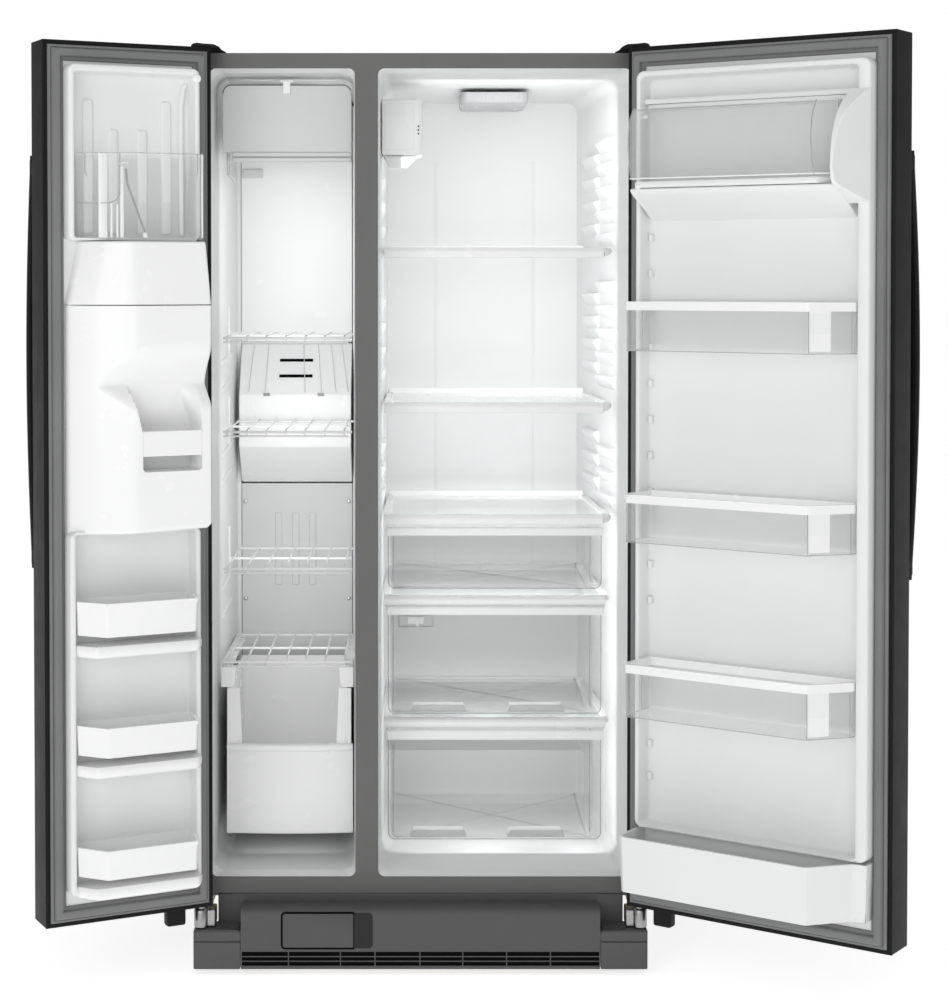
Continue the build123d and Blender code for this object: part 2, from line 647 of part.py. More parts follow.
def bottom_hinge():
    """Bracket at the cabinet's foot, with a knuckle, a washer and the pin the door stands on."""
    knuckle = rod(13, (-PIN_X, PIN_Y, 84), (-PIN_X, PIN_Y, 119))
    knuckle = chamfer(knuckle.edges().filter_by(GeomType.CIRCLE), 1.5)
    pin = rod(PIN_RADIUS, (-PIN_X, PIN_Y, 110), (-PIN_X, PIN_Y, 141))
    arm = block((-399, -376), (-44, -0.5), (84, 116))
    arm = fillet(arm.edges().filter_by(Axis.Z).sort_by(Axis.Y)[:1], 6)
    washer = rod(9, (-PIN_X, PIN_Y, 118), (-PIN_X, PIN_Y, 126))
    return fuse([knuckle, pin, arm, washer])


def hinge_covers():
    """Caps over the top hinge plates."""
    outer = block((-415, -357), (-55, 62), (1685.3, 1702))
    outer = fillet(outer.edges().filter_by(Axis.Z), 5)
    outer -= block((-413, -359), (-53, 60), (1680, 1699.5))
    outer -= block((-420, -350), (-60, 0.5), (1680, 1690.4))
    return group([outer, mirrored(outer)])


def water_inlet():
    """Inlet valve at the back, with a threaded-size stub for the supply line."""
    body = block((-366, -338), (676, CABINET_DEPTH + 2), (150, 190))
    stub = rod(6.35, (-352, CABINET_DEPTH, 170), (-352, CABINET_DEPTH + 18, 170))
    coil = rod(13, (-352, 690, 189), (-352, 690, 216))
    return fuse([body, stub, coil])


# --- doors: built closed, with u from the pin towards the free edge, v towards the cabinet ----
DOOR_Z = (DOOR_BOTTOM, DOOR_TOP)


def door_shell(width):
    """Steel pan with rounded outer edges and a hem turned in around the inner side."""
    u = (-13, width - 13)
    v = (DOOR_OUTER_FACE, DOOR_INNER_FACE)
    outer = block(u, v, DOOR_Z)
    outer = fillet(outer.edges().filter_by(Axis.Z).group_by(Axis.Y)[0], DOOR_CORNER)
    t = DOOR_SHEET
    inner = block((u[0] + t, u[1] - t), (v[0] + t, v[1] - t), (DOOR_Z[0] + t, DOOR_Z[1] - t))
    inner = fillet(inner.edges().filter_by(Axis.Z).group_by(Axis.Y)[0], DOOR_CORNER - t)
    mouth = block(
        (u[0] + DOOR_HEM, u[1] - DOOR_HEM),
        (v[1] - 5, v[1] + 1),
        (DOOR_Z[0] + DOOR_HEM, DOOR_Z[1] - DOOR_HEM),
    )
    shell = outer - inner - mouth
    stop = slab([(34, -16), (60, -16), (70, -6), (70, 14), (34, 14)], (DOOR_Z[0] - 32, DOOR_Z[0] + 0.8))
    stop = fillet(stop.edges().filter_by(Axis.Z), 3)
    return cut_pins(shell + stop)


def cut_pins(solid):
    """Bores for the hinge pins at the top and the bottom of a door."""
    bore = PIN_RADIUS + PIN_FIT
    low = rod(bore, (0, 0, DOOR_Z[0] - 1), (0, 0, 142))
    high = rod(bore, (0, 0, 1672), (0, 0, DOOR_Z[1] + 1))
    return solid - low - high


def door_foam(width):
    t = DOOR_SHEET + 0.15
    v = (DOOR_OUTER_FACE + t, DOOR_INNER_FACE - 5)
    foam = block((-13 + t, width - 13 - t), v, (DOOR_Z[0] + t, DOOR_Z[1] - t))
    foam = fillet(foam.edges().filter_by(Axis.Z).group_by(Axis.Y)[0], DOOR_CORNER - t)
    return cut_pins(foam)


def door_liner(width, dike_u, bands, dike_v, walls):
    """Inner panel: a rim plate, and a raised dike around each height band."""
    margin = DOOR_HEM + 0.3
    face = DOOR_INNER_FACE
    plate = block(
        (-13 + margin, width - 13 - margin),
        (face - 4.8, face),
        (DOOR_Z[0] + margin, DOOR_Z[1] - margin),
    )
    parts = [plate]
    for low, high, low_wall, high_wall in bands:
        ring = block(dike_u, (face - 1, dike_v), (low, high))
        ring = fillet(ring.edges().filter_by(Axis.Y), 8)
        pocket_u = (dike_u[0] + walls[0], dike_u[1] - walls[1])
        pocket = block(pocket_u, (face, dike_v + 1), (low + low_wall, high - high_wall))
        parts.append(ring - fillet(pocket.edges().filter_by(Axis.Y), 4))
    return fuse(parts)


def gasket(width):
    """Magnetic seal: a soft frame with a raised inner bead."""
    u = (-4.5, width - 13 - DOOR_HEM)
    z = (DOOR_Z[0] + DOOR_HEM, DOOR_Z[1] - DOOR_HEM)
    face = DOOR_INNER_FACE + 0.1

    def ring(margin, width_in, depth):
        outer = block((u[0] + margin, u[1] - margin), (face, face + depth), (z[0] + margin, z[1] - margin))
        outer = fillet(outer.edges().filter_by(Axis.Y), 6)
        reach = margin + width_in
        hole = block((u[0] + reach, u[1] - reach), (face - 1, face + depth + 1), (z[0] + reach, z[1] - reach))
        return outer - fillet(hole.edges().filter_by(Axis.Y), 4)

    return ring(0, GASKET_WIDTH - 6, 6) + ring(3, 16, GASKET_DEPTH)


HANDLE_Z = (755, 1490)
HANDLE_STAND_OFF = 48
HANDLE_THICK = 14
HANDLE_WIDTH = 20


def door_handle(width):
    """Bowed grip along the free edge, joined to the door by a post at each end."""
    u = width - 13 - 1 - HANDLE_WIDTH
    low, high = HANDLE_Z
    middle = (low + high) / 2
    root = DOOR_OUTER_FACE - 2
    outside = ThreePointArc(
        (root - HANDLE_THICK, low), (DOOR_OUTER_FACE - HANDLE_STAND_OFF, middle), (root - HANDLE_THICK, high)
    )
    inside = ThreePointArc(
        (root, low), (DOOR_OUTER_FACE - HANDLE_STAND_OFF + HANDLE_THICK, middle), (root, high)
    )
    ends = [Line((root - HANDLE_THICK, z), (root, z)) for z in (low, high)]
    side_view = Plane(origin=(u, 0, 0), x_dir=(0, 1, 0), z_dir=(1, 0, 0))
    grip = extrude(side_view * make_face([outside, inside] + ends), HANDLE_WIDTH)
    posts = [
        block((u, u + HANDLE_WIDTH), (root - 6, DOOR_OUTER_FACE - 0.2), z)
        for z in ((low, low + 40), (high - 40, high))
    ]
    return fuse([grip] + posts)


def bin_outline(points, wall):
    """A bin's plan outline and the same outline moved in by the wall."""
    outer = make_face(Polyline(*points, close=True))
    inner = offset(outer, amount=-wall, kind=Kind.INTERSECTION)
    return outer, inner


def door_bin(points, z, wall=2.6, floor=2.6):
    """Open-topped shelf bin with a cranked front."""
    outer, inner = bin_outline(points, wall)
    shape = Pos(0, 0, z[0]) * extrude(outer, z[1] - z[0])
    return shape - Pos(0, 0, z[0] + floor) * extrude(inner, z[1] - z[0])


def place_left(shape):
    """From a door's own u, v, z to the open freezer door's place."""
    return Pos(-PIN_X, PIN_Y, 0) * Rot(0, 0, -FREEZER_OPEN_ANGLE) * shape


def place_right(shape):
    """From a door's own u, v, z to the open fridge door's place."""
    return Pos(PIN_X, PIN_Y, 0) * Rot(0, 0, FRIDGE_OPEN_ANGLE) * mirrored(shape)


# --- freezer door ---------------------------------------------------------------------
FREEZER_DIKE = (19, 265)
HOUSING_Z = (829, 1337)
RECESS_U = (60, 230)
RECESS_Z = (985, 1290)
RECESS_DEPTH = 58
PADDLE_PIVOT = (145, -9, 1182)   # u, v, z
FREEZER_BIN_OUTLINE = [(31.6, 26.5), (31.6, 62), (46, 110), (214, 110), (252.4, 60), (252.4, 26.5)]
FREEZER_DOOR_BINS = ((647, 706), (436, 488), (222, 273))
HOUSING_OUTLINE = [(19, 26.3), (19, 112), (166, 112), (262, 42), (262, 26.3)]
ICE_BIN_OUTLINE = [(31.6, 26.5), (31.6, 110), (160, 110), (252.4, 56), (252.4, 26.5)]


def recess_block(margin, v_back):
    return block(
        (RECESS_U[0] - margin, RECESS_U[1] + margin),
        (DOOR_OUTER_FACE - 5, v_back),
        (RECESS_Z[0] - margin, RECESS_Z[1] + margin),
    )


def dispenser_recess():
    """Moulded tub and bezel of the outside dispenser, with its drip tray and spout."""
    back = DOOR_OUTER_FACE + RECESS_DEPTH
    face = DOOR_OUTER_FACE
    tub = block(RECESS_U, (face - 1, back), RECESS_Z) - block(
        (RECESS_U[0] + 3, RECESS_U[1] - 3), (face - 2, back - 3), (RECESS_Z[0] + 3, RECESS_Z[1] - 3)
    )
    bezel = block(
        (RECESS_U[0] - 10, RECESS_U[1] + 10), (face - 2.5, face - 0.2), (RECESS_Z[0] - 10, RECESS_Z[1] + 10)
    )
    bezel = fillet(bezel.edges().filter_by(Axis.Y), 8)
    bezel -= block((RECESS_U[0] + 3, RECESS_U[1] - 3), (face - 5, face + 5), (RECESS_Z[0] + 3, RECESS_Z[1] - 3))
    panel = block((RECESS_U[0] + 1, RECESS_U[1] - 1), (face + 4, back - 1), (1205, RECESS_Z[1] - 1))
    spout = block((122, 168), (-24, 4), (1192, 1206))
    lugs = [block((u, u + 5), (-14, back - 1), (1176, 1206)) for u in (112, 173)]
    tray_lip = block((RECESS_U[0] + 1, RECESS_U[1] - 1), (face, face + 3), (RECESS_Z[0] + 1, RECESS_Z[0] + 14))
    recess = fuse([tub, bezel, panel, spout, tray_lip] + lugs)
    pivot_v, pivot_z = PADDLE_PIVOT[1:]
    return recess - rod(2.5 + PIN_FIT, (111, pivot_v, pivot_z), (179, pivot_v, pivot_z))


def dispenser_paddle():
    """Lever behind the glass: pressing it starts the ice or water."""
    pivot_v, pivot_z = PADDLE_PIVOT[1:]
    shaft = rod(2.5, (113, pivot_v, pivot_z), (177, pivot_v, pivot_z))
    arm = block((130, 160), (pivot_v - 2, pivot_v + 1.5), (1064, pivot_z))
    pad = block((122, 168), (pivot_v - 3, pivot_v + 1.5), (1056, 1120))
    pad = fillet(pad.edges().filter_by(Axis.Y), 8)
    return fuse([shaft, arm, pad])


def freezer_door_shell():
    return door_shell(FREEZER_DOOR_WIDTH) - block(
        (RECESS_U[0] - 0.2, RECESS_U[1] + 0.2), (-60, DOOR_OUTER_FACE + 5), (RECESS_Z[0] - 0.2, RECESS_Z[1] + 0.2)
    )


def freezer_door_foam():
    return door_foam(FREEZER_DOOR_WIDTH) - recess_block(0.2, DOOR_OUTER_FACE + RECESS_DEPTH + 0.2)


def freezer_door_liner():
    bands = ((185, HOUSING_Z[0] - 0.3, 12, -10), (HOUSING_Z[1] + 0.3, 1643, -10, 12))
    return door_liner(FREEZER_DOOR_WIDTH, FREEZER_DIKE, bands, 60, (12, 12))


def ice_housing():
    """White chute and auger housing on the inside of the freezer door, with a front pocket."""
    outer, inner = bin_outline(HOUSING_OUTLINE, 3)
    height = HOUSING_Z[1] - HOUSING_Z[0]
    body = Pos(0, 0, HOUSING_Z[0]) * extrude(outer, height)
    body -= Pos(0, 0, HOUSING_Z[0] + 3) * extrude(inner, height - 6)
    body -= block((22, 259), (20, 30), (HOUSING_Z[0] + 3, HOUSING_Z[1] - 3))
    body += block((37, 153), (85, 110), (937, 1068))
    body -= block((40, 150), (88, 113), (940, 1065))
    return body + block((39, 151), (96, 109), (966, 1006))


def ice_bin():
    return door_bin(ICE_BIN_OUTLINE, (1340, 1491))


def freezer_door_bins():
    return group([door_bin(FREEZER_BIN_OUTLINE, z) for z in FREEZER_DOOR_BINS])


# --- fridge door ----------------------------------------------------------------------
FRIDGE_DIKE = (19, 468)
FRIDGE_BIN_OUTLINE = [(31.6, 26.5), (31.6, 118), (42, 130), (388, 130), (443.4, 62), (443.4, 26.5)]
FRIDGE_DOOR_BINS = ((1144, 1231), (806, 891), (496, 590))
BOTTOM_BIN_Z = (183.5, 282)
DAIRY_PIVOT = (52, 1560)         # v, z
DAIRY_PIN_RADIUS = 3
DAIRY_Z = (1446, 1572)           # the hood's lower edge and its top
DAIRY_WALL = 2.5
DAIRY_BOW = (112, 130, 104)      # how far the hood stands out at the bottom, middle and top
DAIRY_OUTLINE = [(34, 34), (34, 84), (44, 132), (392, 132), (426, 92), (426, 34)]
DAIRY_TRAY = [(30, 25), (30, 60), (46, 112), (392, 112), (431, 70), (431, 25)]
END_WALL_U = (430, 468)          # moulded wall at the free edge of the dairy shelf
END_WALL_PLAN = [(430, 25), (430, 137), (436, 139), (468, 60), (468, 25)]
END_WALL_PROFILE = [
    (25, 1396), (60, 1398), (84, 1408), (134, 1428), (141, 1455), (135, 1505), (112, 1550), (60, 1592), (25, 1592)
]


def bowed_section(inset_by):
    """Side view of the space under the dairy hood, moved in by inset_by."""
    low, high = DAIRY_Z[0] - 10, DAIRY_Z[1] - inset_by
    bottom, middle, top = [v - inset_by for v in DAIRY_BOW]
    bow = ThreePointArc((0, bottom, low), (0, middle, sum(DAIRY_Z) / 2), (0, top, high))
    back = Polyline((0, top, high), (0, 30, high), (0, 30, low), (0, bottom, low))
    return make_face([bow, back])


def fridge_door_liner():
    """Inner panel with a dairy shelf, its canopy, its end wall and bearings for the dairy cover."""
    body = door_liner(FRIDGE_DOOR_WIDTH, FRIDGE_DIKE, ((BOTTOM_BIN_Z[1] + 0.5, 1643, 12, 12),), 60, (12, 24))
    body += slab(DAIRY_TRAY, (1431, 1442))
    body += block((30, 445), (25, 48), (1583, 1592))
    body += slab(END_WALL_PLAN, (1390, 1600)) & profile_bar(END_WALL_PROFILE, END_WALL_U)
    v, z = DAIRY_PIVOT
    return body - rod(DAIRY_PIN_RADIUS + PIN_FIT, (25, v, z), (441, v, z))


def dairy_cover():
    """Clear bowed hood over the dairy shelf, turning on a stub at each end."""
    outer, inner = bin_outline(DAIRY_OUTLINE, DAIRY_WALL)
    low, height = DAIRY_Z[0], DAIRY_Z[1] - DAIRY_Z[0]
    outside = Pos(0, 0, low) * extrude(outer, height) & extrude(bowed_section(0), FRIDGE_DOOR_WIDTH, dir=(1, 0, 0))
    inside = Pos(0, 0, low - 6) * extrude(inner, height + 6 - DAIRY_WALL)
    inside = inside & extrude(bowed_section(DAIRY_WALL), FRIDGE_DOOR_WIDTH, dir=(1, 0, 0))
    hood = outside - inside - block((36.5, 423.5), (33, 38), (low - 6, DAIRY_Z[1] - DAIRY_WALL))
    v, z = DAIRY_PIVOT
    for start, end in ((26, 36), (424, 440)):
        hood += rod(DAIRY_PIN_RADIUS, (start, v, z), (end, v, z))
    return hood


def fridge_door_bins():
    return group([door_bin(FRIDGE_BIN_OUTLINE, z) for z in FRIDGE_DOOR_BINS])


def bottom_bin():
    outline = [(23, 26.3), (23, 118), (34, 130), (388, 130), (444, 62), (468, 60), (468, 26.3)]
    return door_bin(outline, BOTTOM_BIN_Z, wall=4, floor=4)


# --- every node -----------------------------------------------------------------------
def cabinet_nodes():
    """Fixed pieces of the cabinet."""
    bottom = bottom_hinge()
    top = top_hinge()
    return {
        "cabinet_wrapper": cabinet_wrapper(),
        "front_flange": front_flange(),
        "freezer_liner": liner(FREEZER_LIP, FREEZER_FRONT, FREEZER_REAR),
        "fridge_liner": liner(FRIDGE_LIP, FRIDGE_FRONT, FRIDGE_REAR),
        "insulation": insulation(),
        "back_panel": back_panel(),
        "base_frame": base_frame(),
        "compressor_cover": compressor_cover(),
        "compressor": compressor(),
        "condenser": condenser(),
        "fan_motors": fan_motors(),
        "evaporator": evaporator(),
        "freezer_upper_panel": freezer_upper_panel(),
        "evaporator_cover": evaporator_cover(),
        "freezer_lower_panel": freezer_lower_panel(),
        "panel_screws": panel_screws(),
        "ice_maker": ice_maker(),
        "ice_maker_shield": ice_maker_shield(),
        "wire_shelves": group([wire_shelf(z) for z in FREEZER_WIRE_HEIGHTS]),
        "control_box": control_box(),
        "light_lens": light_lens(),
        "shelf_frames": group([shelf_frame(z) for z in SHELF_RAIL_BOTTOMS]),
        "shelf_glass": group(
            [shelf_pane(z) for z in SHELF_RAIL_BOTTOMS] + [shelf_pane(z, CRISPER_COVER_HEIGHT) for z in CRISPER_COVERS]
        ),
        "upper_crisper_cover": shelf_frame(CRISPER_COVERS[0], CRISPER_COVER_HEIGHT),
        "lower_crisper_cover": shelf_frame(CRISPER_COVERS[1], CRISPER_COVER_HEIGHT),
        "base_grille": base_grille(),
        "water_filter": water_filter(),
        "levelling_legs": levelling_legs(),
        "hinge_brackets": group([bottom, mirrored(bottom), top, mirrored(top)]),
        "hinge_covers": hinge_covers(),
        "water_inlet": water_inlet(),
    }


def moving_nodes():
    """Pieces of the cabinet that slide or turn."""
    return {
        "freezer_bin": freezer_bin(),
        "deli_drawer": drawer(683, 784, 16),
        "upper_crisper": upper_crisper(),
        "lower_crisper": drawer(204, 395, 19),
        "humidity_slider": humidity_slider(),
        "filter_cover": filter_cover(),
        "condenser_fan": fan(CONDENSER_FAN, (1, 0, 0), 62),
        "evaporator_fan": fan(EVAPORATOR_FAN, (0, 1, 0), 50),
        "ice_maker_arm": ice_maker_arm(),
        "front_rollers": rollers(ROLLER_Y[0], FRONT_ROLLER_LIFT),
        "rear_rollers": rollers(ROLLER_Y[1], 0),
    }


def freezer_door_nodes():
    return {
        "freezer_door_shell": freezer_door_shell(),
        "freezer_door_foam": freezer_door_foam(),
        "freezer_door_liner": freezer_door_liner(),
        "freezer_door_gasket": gasket(FREEZER_DOOR_WIDTH),
        "freezer_door_handle": door_handle(FREEZER_DOOR_WIDTH),
        "freezer_door_bins": freezer_door_bins(),
        "ice_housing": ice_housing(),
        "ice_bin": ice_bin(),
        "dispenser_recess": dispenser_recess(),
        "dispenser_paddle": dispenser_paddle(),
    }


def fridge_door_nodes():
    return {
        "fridge_door_shell": door_shell(FRIDGE_DOOR_WIDTH),
        "fridge_door_foam": door_foam(FRIDGE_DOOR_WIDTH),
        "fridge_door_liner": fridge_door_liner(),
        "fridge_door_gasket": gasket(FRIDGE_DOOR_WIDTH),
        "fridge_door_handle": door_handle(FRIDGE_DOOR_WIDTH),
        "fridge_door_bins": fridge_door_bins(),
        "bottom_bin": bottom_bin(),
        "dairy_cover": dairy_cover(),
    }


nodes = {**cabinet_nodes(), **moving_nodes()}
nodes.update({name: place_left(shape) for name, shape in freezer_door_nodes().items()})
nodes.update({name: place_right(shape) for name, shape in fridge_door_nodes().items()})

for name, shape in nodes.items():
    export_step(shape, f"parts/{name}.step")
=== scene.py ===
import json
import math

import bmesh
import bpy
from mathutils import Matrix, Vector


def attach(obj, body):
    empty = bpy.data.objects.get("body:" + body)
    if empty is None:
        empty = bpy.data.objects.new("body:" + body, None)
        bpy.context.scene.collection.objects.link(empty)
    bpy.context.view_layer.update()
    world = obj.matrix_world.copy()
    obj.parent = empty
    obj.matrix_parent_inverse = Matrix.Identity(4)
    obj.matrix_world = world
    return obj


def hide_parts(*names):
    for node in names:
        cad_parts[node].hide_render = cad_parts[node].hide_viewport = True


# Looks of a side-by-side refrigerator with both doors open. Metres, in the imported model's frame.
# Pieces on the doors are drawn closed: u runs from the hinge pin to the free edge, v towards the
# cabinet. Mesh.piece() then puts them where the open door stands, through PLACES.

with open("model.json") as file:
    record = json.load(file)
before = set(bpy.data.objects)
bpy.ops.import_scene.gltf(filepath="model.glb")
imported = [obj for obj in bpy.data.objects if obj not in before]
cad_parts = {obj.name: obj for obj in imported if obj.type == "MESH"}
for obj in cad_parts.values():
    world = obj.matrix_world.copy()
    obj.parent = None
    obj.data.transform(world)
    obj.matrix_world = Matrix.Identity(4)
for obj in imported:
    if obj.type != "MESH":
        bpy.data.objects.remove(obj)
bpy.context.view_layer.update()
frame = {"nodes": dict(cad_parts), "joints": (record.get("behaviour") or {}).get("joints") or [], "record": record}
MM = 0.001
joints = {j["name"]: j for j in frame["joints"]}


# --- places ---------------------------------------------------------------------------
def door_matrix(joint_name, side):
    """From a door's own u, v, z to the row frame. The joint's lowest angle is the closed door."""
    joint = joints[joint_name]
    pin = Vector(joint["pos_m"])
    angle = -math.radians(joint["range_deg"][0]) * side
    shift = Matrix.Translation((pin.x, pin.y, 0))
    flip = Matrix.Diagonal((-side, 1, 1, 1))
    return shift @ Matrix.Rotation(angle, 4, "Z") @ flip


PLACES = {
    "freezer_door": door_matrix("freezer_door_hinge", -1),
    "fridge_door": door_matrix("fridge_door_hinge", 1),
}
PLACES["dairy_cover"] = PLACES["fridge_door"]
PLACES["dispenser_paddle"] = PLACES["freezer_door"]


class Span:
    """A box in millimetres, in a body's own place: x, y and z are (low, high) pairs."""

    def __init__(self, points):
        self.x, self.y, self.z = [(min(p[i] for p in points), max(p[i] for p in points)) for i in range(3)]


def span(node, body="cabinet"):
    """The box of one CAD node in its body's place."""
    back = PLACES.get(body, Matrix.Identity(4)).inverted()
    return Span([back @ v.co / MM for v in frame["nodes"][node].data.vertices])


def solids(node, body="cabinet"):
    """One Span for each separate solid of a node, the highest first."""
    mesh = frame["nodes"][node].data
    back = PLACES.get(body, Matrix.Identity(4)).inverted()
    key = [tuple(round(c, 5) for c in v.co) for v in mesh.vertices]
    parent = {k: k for k in key}

    def root(k):
        while parent[k] != k:
            parent[k] = parent[parent[k]]
            k = parent[k]
        return k

    for face in mesh.polygons:
        first = root(key[face.vertices[0]])
        for other in face.vertices[1:]:
            parent[root(key[other])] = first
            first = root(first)
    groups = {}
    for k in set(key):
        groups.setdefault(root(k), []).append(back @ Vector(k) / MM)
    return sorted((Span(g) for g in groups.values()), key=lambda s: -s.z[1])


# --- materials ------------------------------------------------------------------------
class Paint:
    """A small helper that builds one node material."""

    def __init__(self, name):
        self.material = bpy.data.materials.new(name)
        self.material.use_nodes = True
        self.tree = self.material.node_tree
        self.shader = self.tree.nodes["Principled BSDF"]
        coords = self.tree.nodes.new("ShaderNodeTexCoord")
        self.where = coords.outputs["Object"]

    def node(self, kind, **values):
        made = self.tree.nodes.new(kind)
        for key, value in values.items():
            setattr(made, key, value)
        return made

    def link(self, source, target):
        self.tree.links.new(source, target)

    def noise(self, scale, detail=3.0, stretch=(1, 1, 1)):
        mapping = self.node("ShaderNodeMapping")
        mapping.inputs["Scale"].default_value = stretch
        self.link(self.where, mapping.inputs["Vector"])
        made = self.node("ShaderNodeTexNoise")
        made.inputs["Scale"].default_value = scale
        made.inputs["Detail"].default_value = detail
        self.link(mapping.outputs["Vector"], made.inputs["Vector"])
        return made.outputs["Fac"]

    def ramp(self, value, low, high):
        made = self.node("ShaderNodeValToRGB")
        made.color_ramp.elements[0].position = 0.3
        made.color_ramp.elements[1].position = 0.7
        made.color_ramp.elements[0].color = (*low, 1)
        made.color_ramp.elements[1].color = (*high, 1)
        self.link(value, made.inputs["Fac"])
        return made.outputs["Color"]

    def spread(self, value, low, high):
        made = self.node("ShaderNodeMapRange")
        made.inputs["To Min"].default_value = low
        made.inputs["To Max"].default_value = high
        self.link(value, made.inputs["Value"])
        return made.outputs["Result"]

    def bump(self, value, strength, distance):
        made = self.node("ShaderNodeBump")
        made.inputs["Strength"].default_value = strength
        made.inputs["Distance"].default_value = distance
        self.link(value, made.inputs["Height"])
        self.link(made.outputs["Normal"], self.shader.inputs["Normal"])

    def set(self, **values):
        for key, value in values.items():
            self.shader.inputs[key.replace("_", " ")].default_value = value


def tone(color, factor):
    """The colour made lighter or darker."""
    return tuple(min(1.0, c * factor) for c in color)


def moulded(name, color, roughness=0.35, grain=900, bump=0.12, mottle=0.04, shine=0.5):
    """Plain moulded plastic or enamel: faint colour mottling, uneven gloss and a fine skin."""
    paint = Paint(name)
    cloud = paint.noise(6, 4)
    paint.link(
        paint.ramp(cloud, tone(color, 1 - mottle), tone(color, 1 + mottle)),
        paint.shader.inputs["Base Color"]
    )
    smudge = paint.noise(28, 5)
    paint.link(paint.spread(smudge, roughness * 0.8, roughness * 1.25), paint.shader.inputs["Roughness"])
    paint.bump(paint.noise(grain, 2), bump, 0.0004)
    paint.set(Specular_IOR_Level=shine)
    return paint.material


def metal(name, color, roughness=0.3, stretch=(1, 1, 1), scale=300):
    """Bare metal with a drawn or cast grain."""
    paint = Paint(name)
    grain = paint.noise(scale, 4, stretch)
    paint.link(paint.ramp(grain, tone(color, 0.86), tone(color, 1.08)), paint.shader.inputs["Base Color"])
    paint.link(paint.spread(grain, roughness * 0.7, roughness * 1.4), paint.shader.inputs["Roughness"])
    paint.set(Metallic=1.0)
    paint.bump(grain, 0.1, 0.0003)
    return paint.material


def clear(name, color, face_alpha, edge_alpha, roughness=0.06):
    """Clear plastic or glass as a thin wall: faint on its face, denser where it is seen edge-on."""
    paint = Paint(name)
    haze = paint.noise(40, 3)
    paint.link(paint.ramp(haze, tone(color, 0.97), tone(color, 1.03)), paint.shader.inputs["Base Color"])
    paint.link(paint.spread(haze, roughness * 0.7, roughness * 1.5), paint.shader.inputs["Roughness"])
    weight = paint.node("ShaderNodeLayerWeight")
    weight.inputs["Blend"].default_value = 0.35
    paint.link(paint.spread(weight.outputs["Facing"], face_alpha, edge_alpha), paint.shader.inputs["Alpha"])
    paint.set(IOR=1.49, Specular_IOR_Level=0.6)
    return paint.material


def galvanised():
    """Zinc-coated sheet with its crystal spangle."""
    paint = Paint("galvanised_sheet")
    cells = paint.node("ShaderNodeTexVoronoi")
    cells.inputs["Scale"].default_value = 90
    paint.link(paint.where, cells.inputs["Vector"])
    fac = cells.outputs["Distance"]
    paint.link(paint.ramp(fac, (0.33, 0.34, 0.35), (0.5, 0.51, 0.52)), paint.shader.inputs["Base Color"])
    paint.link(paint.spread(fac, 0.3, 0.5), paint.shader.inputs["Roughness"])
    paint.set(Metallic=0.85)
    return paint.material


def foam_material():
    """Cut polyurethane foam: cream, with open cells."""
    paint = Paint("polyurethane_foam")
    cells = paint.node("ShaderNodeTexVoronoi")
    cells.inputs["Scale"].default_value = 500
    paint.link(paint.where, cells.inputs["Vector"])
    fac = cells.outputs["Distance"]
    paint.link(paint.ramp(fac, (0.62, 0.52, 0.3), (0.82, 0.74, 0.52)), paint.shader.inputs["Base Color"])
    paint.set(Roughness=0.9)
    paint.bump(fac, 0.5, 0.001)
    return paint.material


BLACK = (0.012, 0.012, 0.013)
GREY = (0.135, 0.135, 0.133)
WHITE = (0.78, 0.785, 0.785)

LOOK = {
    "painted_shell": moulded("black_enamel", BLACK, 0.42, grain=420, bump=0.2, mottle=0.1, shine=0.08),
    "painted_cabinet": moulded("grey_enamel", GREY, 0.45, grain=600, bump=0.2, shine=0.2),
    "galvanised": galvanised(),
    "zinc_hinge": metal("zinc_plate", (0.34, 0.34, 0.34), 0.28, (1, 1, 8), 260),
    "liner_white": moulded("white_liner", WHITE, 0.32, grain=700, bump=0.08, mottle=0.012, shine=0.3),
    "foam": foam_material(),
    "gasket_grey": moulded(
        "grey_gasket", (0.19, 0.192, 0.192), 0.6, grain=500, bump=0.15, mottle=0.08, shine=0.2
    ),
    "grille_grey": moulded("grille_plastic", (0.085, 0.085, 0.085), 0.5, grain=520, bump=0.3, shine=0.25),
    "black_plastic": moulded(
        "black_plastic", (0.012, 0.012, 0.012), 0.45, grain=600, bump=0.25, mottle=0.1, shine=0.1
    ),
    "white_plastic": moulded(
        "white_plastic", (0.86, 0.862, 0.862), 0.25, grain=500, bump=0.05, mottle=0.01, shine=0.4
    ),
    "clear_plastic": clear("clear_plastic", (0.9, 0.915, 0.915), 0.06, 0.4),
    "shelf_glass": clear("shelf_glass", (0.78, 0.84, 0.83), 0.1, 0.5, 0.04),
    "lens": moulded("lamp_lens", (0.4, 0.41, 0.42), 0.25, grain=300, bump=0.1),
    "coated_wire": moulded("white_coated_wire", (0.78, 0.78, 0.78), 0.3, grain=300, bump=0.08),
    "compressor_black": moulded("compressor_enamel", (0.02, 0.02, 0.022), 0.35, grain=300, bump=0.3),
    "coil_metal": metal("coil_aluminium", (0.68, 0.69, 0.7), 0.35, (1, 6, 1), 200),
    "steel_screw": metal("steel", (0.6, 0.6, 0.61), 0.25, (1, 1, 1), 500),
    "grey_panel": moulded(
        "light_grey_panel", (0.68, 0.685, 0.685), 0.45, grain=650, bump=0.12, mottle=0.02, shine=0.2
    ),
    "roller_plastic": moulded("roller_nylon", (0.08, 0.08, 0.08), 0.55, grain=300, bump=0.3),
    "brass_fitting": metal("brass", (0.65, 0.48, 0.2), 0.25, (1, 1, 4), 300),
}
# Near-black: the real black of the dispenser's window and the control box's lamps, and painted shade in the
# grille's vent, the duct cover's slots and the gap round the filter door.
BLACK_AND_PAINTED_SHADE = moulded("black_and_painted_shade", (0.004, 0.004, 0.004), 0.9, grain=300, bump=0.1, shine=0.02)
# Dark grey: painted shade for the finger recess on the grille.
RECESS_SHADE = moulded("recess_shadow", (0.035, 0.035, 0.035), 0.7, grain=300, bump=0.1, shine=0.05)
# Grey: painted shadow in the joints beside the freezer's back panels.
JOINT_SHADE = moulded("joint_shadow", (0.1, 0.1, 0.1), 0.8, grain=300, bump=0.1)

